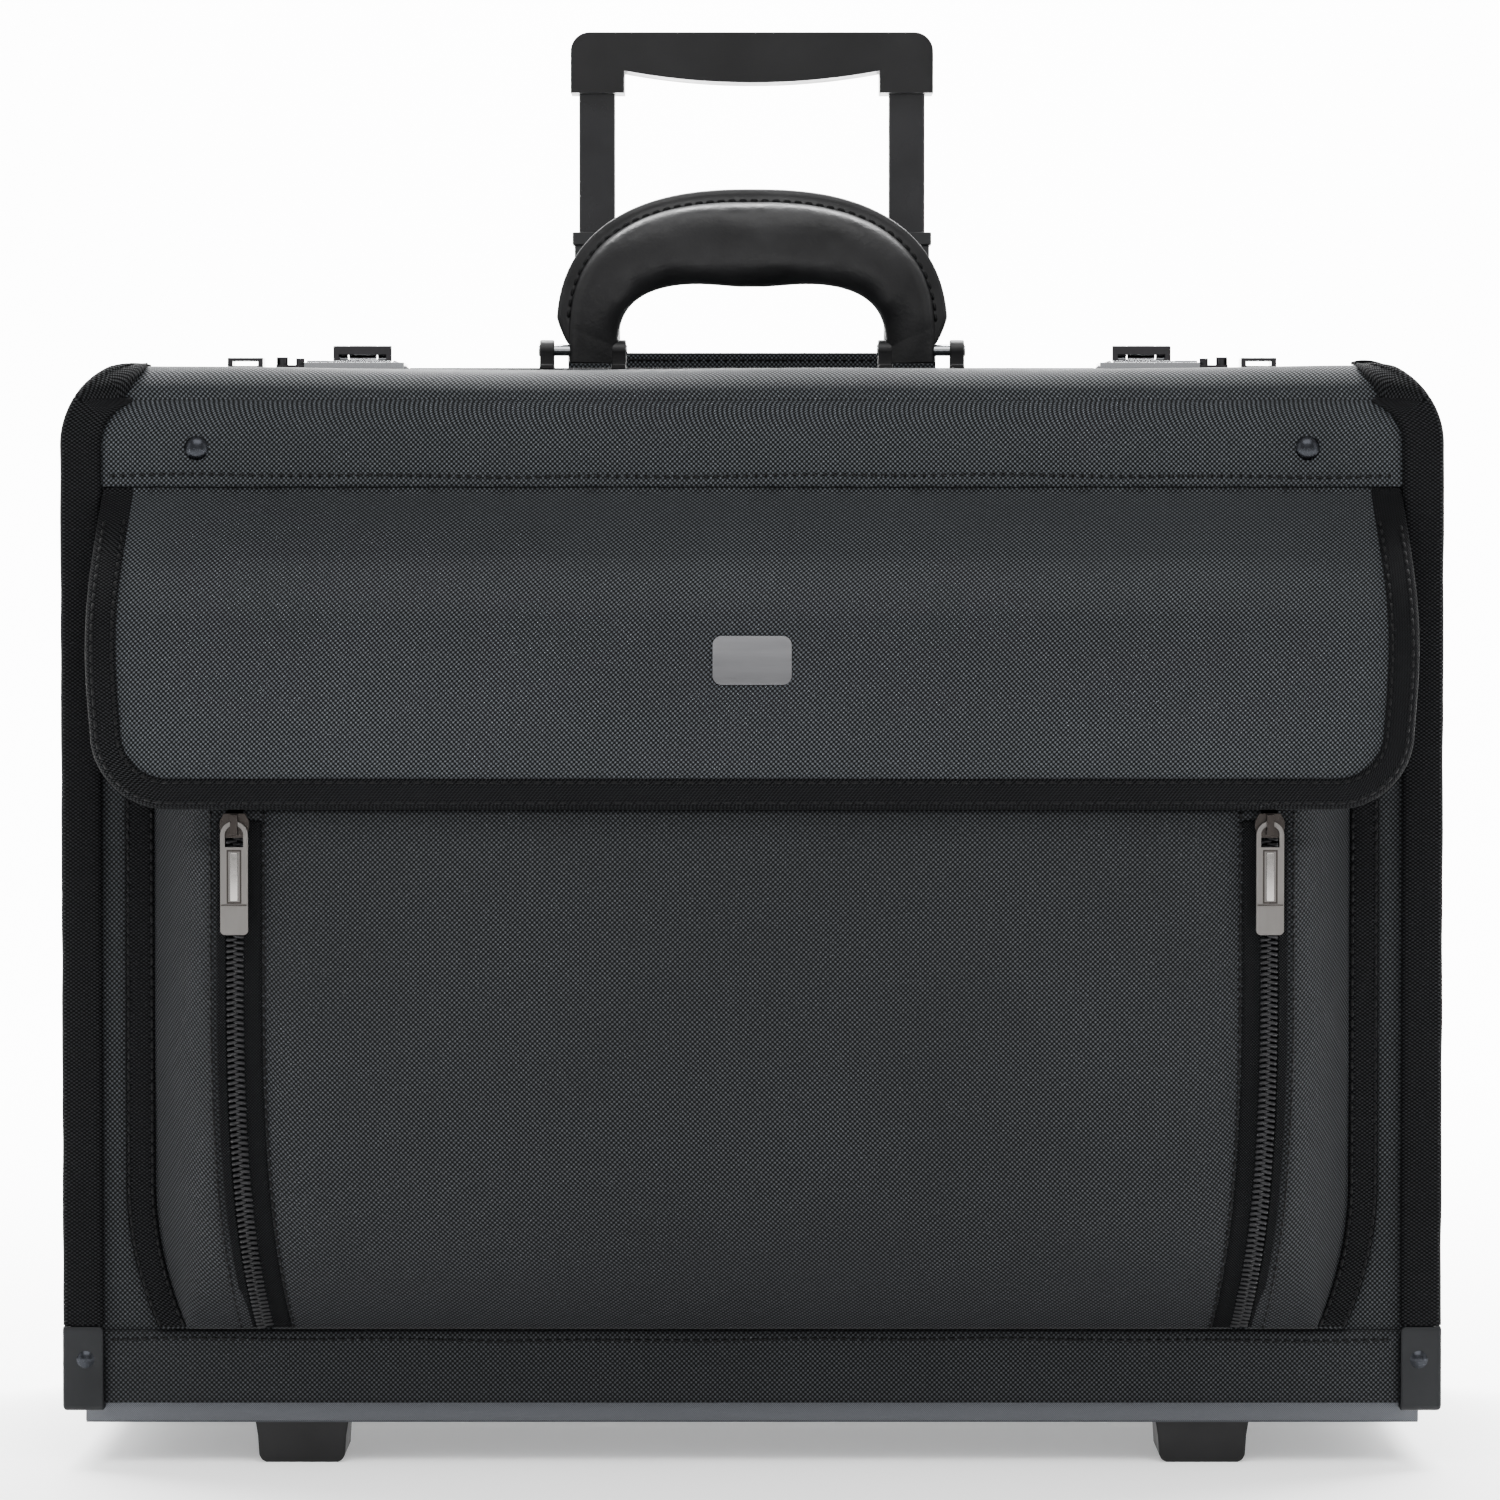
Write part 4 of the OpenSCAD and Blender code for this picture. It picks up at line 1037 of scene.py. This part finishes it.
# %% The flange and its seam
flange_arc = leg_and_arch(sewn_x, sewn_rise, shoulder, 2.5, pin_z + 2.0)
way = unit(np.gradient(flange_arc, axis=0))
outward = np.stack([-way[:, 1], way[:, 0]], 1)
s = np.concatenate([[0], np.cumsum(np.linalg.norm(np.diff(flange_arc, axis=0), axis=1))])
ends = np.clip(np.minimum(s, s[-1] - s) / 9, 0, 1)
wide = 4.3 * ends ** 0.8
cross = np.array([(-3.5, -1.9), (-1.0, -1.75), (0.55, -1.5), (0.9, -1.15), (1.0, -0.5),
                  (1.0, 0.5), (0.9, 1.15), (0.55, 1.5), (-1.0, 1.75), (-3.5, 1.9)])
out = np.where(cross[:, 0] > -2, cross[:, 0] * wide[:, None], cross[:, 0])
x = flange_arc[:, :1] + outward[:, :1] * out
z = flange_arc[:, 1:] + outward[:, 1:] * out
y = pin_y + cross[:, 1] + 0.12 * np.sin(s[:, None] / 5)
flange = strip("handle_flange", place(x, y, z))
finish_piece(flange, "carry_handle", leather)
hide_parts("carry_handle_welt")
keep = np.minimum(s, s[-1] - s) > 8
for hand, face_y in (("front", -1.0), ("rear", 1.0)):
    line = flange_arc + outward * 0.2
    seam(f"handle_seam_{hand}", place(line[keep, 0], pin_y + face_y * 1.85, line[keep, 1]), (0, face_y, 0),
         "carry_handle", length=2.6, gap=1.2, width=0.6)
print("handle length along the roll:", round(float(along_s[-1]), 1), "mm")

# %% [markdown]
# ## Small cloth parts
# The lids are bound where they meet, the rear edges have the same tape as the front ones, the
# pull-out handle comes out of a stitched cloth cuff, a webbing loop sits on the lid, and the
# inside of the box is lined. Extruded curves would do for the straight ones. The same sheets as
# before are used, so that the weave and the small ripple of the tape match everywhere.

# %% Tapes over the lids
def arch_ribbon(name, body, y0, y1, lift, end_turn):
    """A ribbon over the arch, end_turn degrees down each side: radius + lift, y from y0 to y1."""
    t = np.radians(np.concatenate([np.linspace(-end_turn, 0, 40)[:-1], np.zeros(160),
                                   np.linspace(0, end_turn, 40)[1:]]))
    middle_x = np.concatenate([np.full(39, -bend_x), np.linspace(-bend_x, bend_x, 160),
                               np.full(39, bend_x)])
    q = np.linspace(-1, 1, 9)[:, None]
    r = bend + lift + 0.5 * (1 - np.abs(q) ** 6)
    x = middle_x + r * np.sin(t)
    z = side_top + r * np.cos(t)
    y = (y0 + y1) / 2 + q * (y1 - y0) / 2 + 0 * x
    return sheet(name, place(x, y, z), body, binding, 0.6)


arch_ribbon("front_lid_edge_tape", "front_lid", split - 9, split - 0.1, 0.25, 86)
arch_ribbon("rear_lid_edge_tape", "rear_lid", split + 4.6, split + 12.6, 0.25, 86)
arch_ribbon("rear_lid_back_tape", "rear_lid", rear_end - 10.5, rear_end, 0.35, 88)
print("lid tapes: 3")

# %% The webbing loop on the lid
tag_y0, tag_y1 = (corner("side_tag")[k][1] / MM - front for k in (0, 1))
t = np.radians(np.linspace(1, 33, 40))[None]
q = np.linspace(-1, 1, 9)[:, None]
r = bend + 0.9 + 1.3 * np.sin(np.linspace(0.15, np.pi - 0.1, 40))[None] ** 0.6
loop_y = (tag_y0 + tag_y1) / 2 + q * (tag_y1 - tag_y0) / 2 + 0 * t
loop = sheet("lid_loop", place(bend_x + r * np.sin(t), loop_y, side_top + r * np.cos(t)),
             "front_lid", binding, 1.1, rounded=0.3)
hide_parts("side_tag")
print("loop width", round(tag_y1 - tag_y0, 1))

# %% Tapes and seams on the rear edges
housing_top = corner("left_wheel_housing")[1][2] / MM
rear_z = np.linspace(housing_top + 0.5, side_top - 0.5, 120)
for side, hand in ((-1, "left"), (1, "right")):
    cross = np.array([(11, back + 0.2), (10.8, back + 1.0), (5, back + 1.35), (0, back + 1.2),
                      (-1.1, back + 0.6), (-1.5, back - 1), (-1.45, back - 6), (-1.1, back - 11),
                      (-0.2, back - 11.2)])
    x = (half_w - cross[None, :, 0]) * side + 0 * rear_z[:, None]
    y = cross[None, :, 1] + ripple(rear_z, rear_z, 9, 0.12, 5)[:, None]
    sheet(f"{hand}_rear_tape", place(x, y, rear_z[:, None] + 0 * x), "case", binding, 0.5,
          flip=side < 0)
    seam(f"{hand}_rear_seam", place((half_w - 9.2) * side, back + 1.25, rear_z), (0, 1, 0), "case",
         gap=1.1)
print("rear tapes from", round(rear_z[0], 1), "to", round(rear_z[-1], 1), "mm up")

# %% Seams on the tube sleeve and the cuff
sleeve_low, sleeve_high = corner("trolley_sleeve")
for k in (-1, 1):
    z = np.linspace(sleeve_low[2] / MM + 4, sleeve_high[2] / MM - 4, 120)
    seam(f"sleeve_seam_{'left' if k < 0 else 'right'}",
         place(k * (sleeve_high[0] / MM - 4), sleeve_high[1] / MM - front + 0.15, z), (0, 1, 0),
         "case")
cuff_low, cuff_high = corner("trolley_bezel")
line_x = np.linspace(cuff_low[0] / MM + 3, cuff_high[0] / MM - 3, 80)
for z, y, up in ((cuff_high[2] / MM - 2.6, cuff_low[1] / MM - front + 0.9, -1),
                 (cuff_high[2] / MM - 4, cuff_high[1] / MM - front + 0.15, 1)):
    seam(f"cuff_seam_{'front' if up < 0 else 'back'}", place(line_x, y, z), (0, up, 0), "case")
print("sleeve and cuff seams: 4")

# %% The lining
def lining_sheet(name, x, y, z, flip=False):
    """A thin sheet of lining through points given in millimetres."""
    return sheet(name, place(x, y, z), "case", lining, 0.3, flip=flip)


def slack(z, wave, turns):
    """Looseness between the glued edges: 0.3 (1 + sin(z / wave + turns u)) sin(pi v)."""
    return 0.3 * (1 + np.sin(z / wave + u * turns)) * np.sin(np.pi * v)


wall = 4.0
# known fault: the lining's foot is too low, so its floor shows under the case; foot is the right height
lining_foot = 9.7
board = lining_foot + wall
u = np.linspace(-1, 1, 60)[None]
v = np.linspace(0, 1, 50)[:, None]
zz = board + 0.6 + v * (crease - 12 - board)
inner_half = half_w - wall - 0.5
lining_sheet("lining_front", u * inner_half, wall + 0.5 + slack(zz, 23, 3), zz, True)
lining_sheet("lining_rear", u * inner_half, back - wall - 0.5 - slack(zz, 19, 4), zz)
side_y = wall + 1 + (u + 1) / 2 * (back - 2 * wall - 2)
zs = board + 0.6 + v * (side_top - board - 3)
for side, hand in ((-1, "left"), (1, "right")):
    lining_sheet(f"lining_{hand}", (inner_half - slack(zs, 21, 3)) * side, side_y, zs, side < 0)
lining_sheet("lining_base", u * (half_w - wall - 0.6) + 0 * v, wall + 0.6 + v * (back - 70),
             board + 0.4 + 0.2 * np.sin(u * 40) * v)
print("lining sheets: 5")

# %% [markdown]
# ## Floor, light and camera
# The floor is one pale sheet that curves up far behind, so it has no edge, and it glows a little,
# which softens the shadow under a dark case. A wide soft light above and two at the sides give
# the long quiet gradients of a studio. The camera has a long lens, which keeps upright edges
# upright, a little above the middle of the case, as for a catalogue view.

# %% The pale floor
def floor_profile(t):
    """Flat to y = 1.5 m, then a quarter circle of radius 1.2 m up to a wall, t from 0 to 1."""
    flat, quarter, wall_up = 4.5, 1.2 * np.pi / 2, 2.5
    s = t * (flat + quarter + wall_up)
    q = np.clip((s - flat) / 1.2, 0, np.pi / 2)
    y = -3.0 + np.minimum(s, flat) + 1.2 * np.sin(q)
    return y, 1.2 * (1 - np.cos(q)) + np.maximum(s - flat - quarter, 0)


t = np.linspace(0, 1, 80)[:, None]
u = np.linspace(-5, 5, 40)[None]
floor_y, floor_z = floor_profile(t)
floor = cloth_grid("floor", np.stack(np.broadcast_arrays(u, floor_y, floor_z), -1).astype(float))
r = Recipe("pale_floor")
r.set(Base_Color=r.mix(r.noise(3, 2), (0.90, 0.90, 0.90), (0.93, 0.93, 0.93)), Roughness=0.9,
      Emission_Color=(1.0, 1.0, 1.0), Emission_Strength=0.35)
floor.data.materials.append(r.material)
floor.data.polygons.foreach_set("use_smooth", np.ones(len(floor.data.polygons), bool))
print("floor points:", len(floor.data.vertices))

# %% Lights and the sky behind
def area_light(name, place_at, look_at, size, power, size_y=None):
    """A soft rectangular light turned to look at a point."""
    data = bpy.data.lights.new(name, "AREA")
    data.energy, data.size, data.shape = power, size, "RECTANGLE"
    data.size_y = size_y or size
    lamp = bpy.data.objects.new(name, data)
    lamp.location = place_at
    way = np.array(look_at) - np.array(place_at)
    lamp.rotation_euler = (math.atan2(math.hypot(way[0], way[1]), -way[2]), 0, math.atan2(-way[0], way[1]))
    bpy.context.scene.collection.objects.link(lamp)


area_light("top_light", (0, -1.3, 1.8), (0, -0.6, 0.0), 1.8, 44, 1.2)
area_light("front_light", (0, -3.0, 1.5), (0, 0, 0.25), 2.0, 6, 1.2)
area_light("low_fill", (0, -2.4, 0.25), (0, 0, 0.0), 2.4, 2.5, 0.3)
area_light("left_light", (-1.7, -0.9, 0.7), (0, 0, 0.3), 0.5, 6, 1.4)
area_light("right_light", (1.7, -0.9, 0.7), (0, 0, 0.3), 0.5, 5, 1.4)
area_light("back_wash", (0, 0.9, 2.4), (0, 2.6, 0.5), 3.0, 900, 1.0)
world = bpy.data.worlds.new("studio")
bpy.context.scene.world = world
world.use_nodes = True
world.node_tree.nodes["Background"].inputs[0].default_value = (1, 1, 1, 1)
world.node_tree.nodes["Background"].inputs[1].default_value = 1.25
print("lights:", len(bpy.data.lights))

# %% The camera
lens = bpy.data.cameras.new("camera")
lens.lens, lens.sensor_width = 158, 36
lens.clip_end = 30
camera = bpy.data.objects.new("camera", lens)
camera.location = (-0.0007, front * MM - 2.2, 0.322)
camera.rotation_euler = (math.radians(90 - 2.13), 0, 0)
bpy.context.scene.collection.objects.link(camera)
bpy.context.scene.camera = camera
print("camera", [round(c, 3) for c in camera.location])
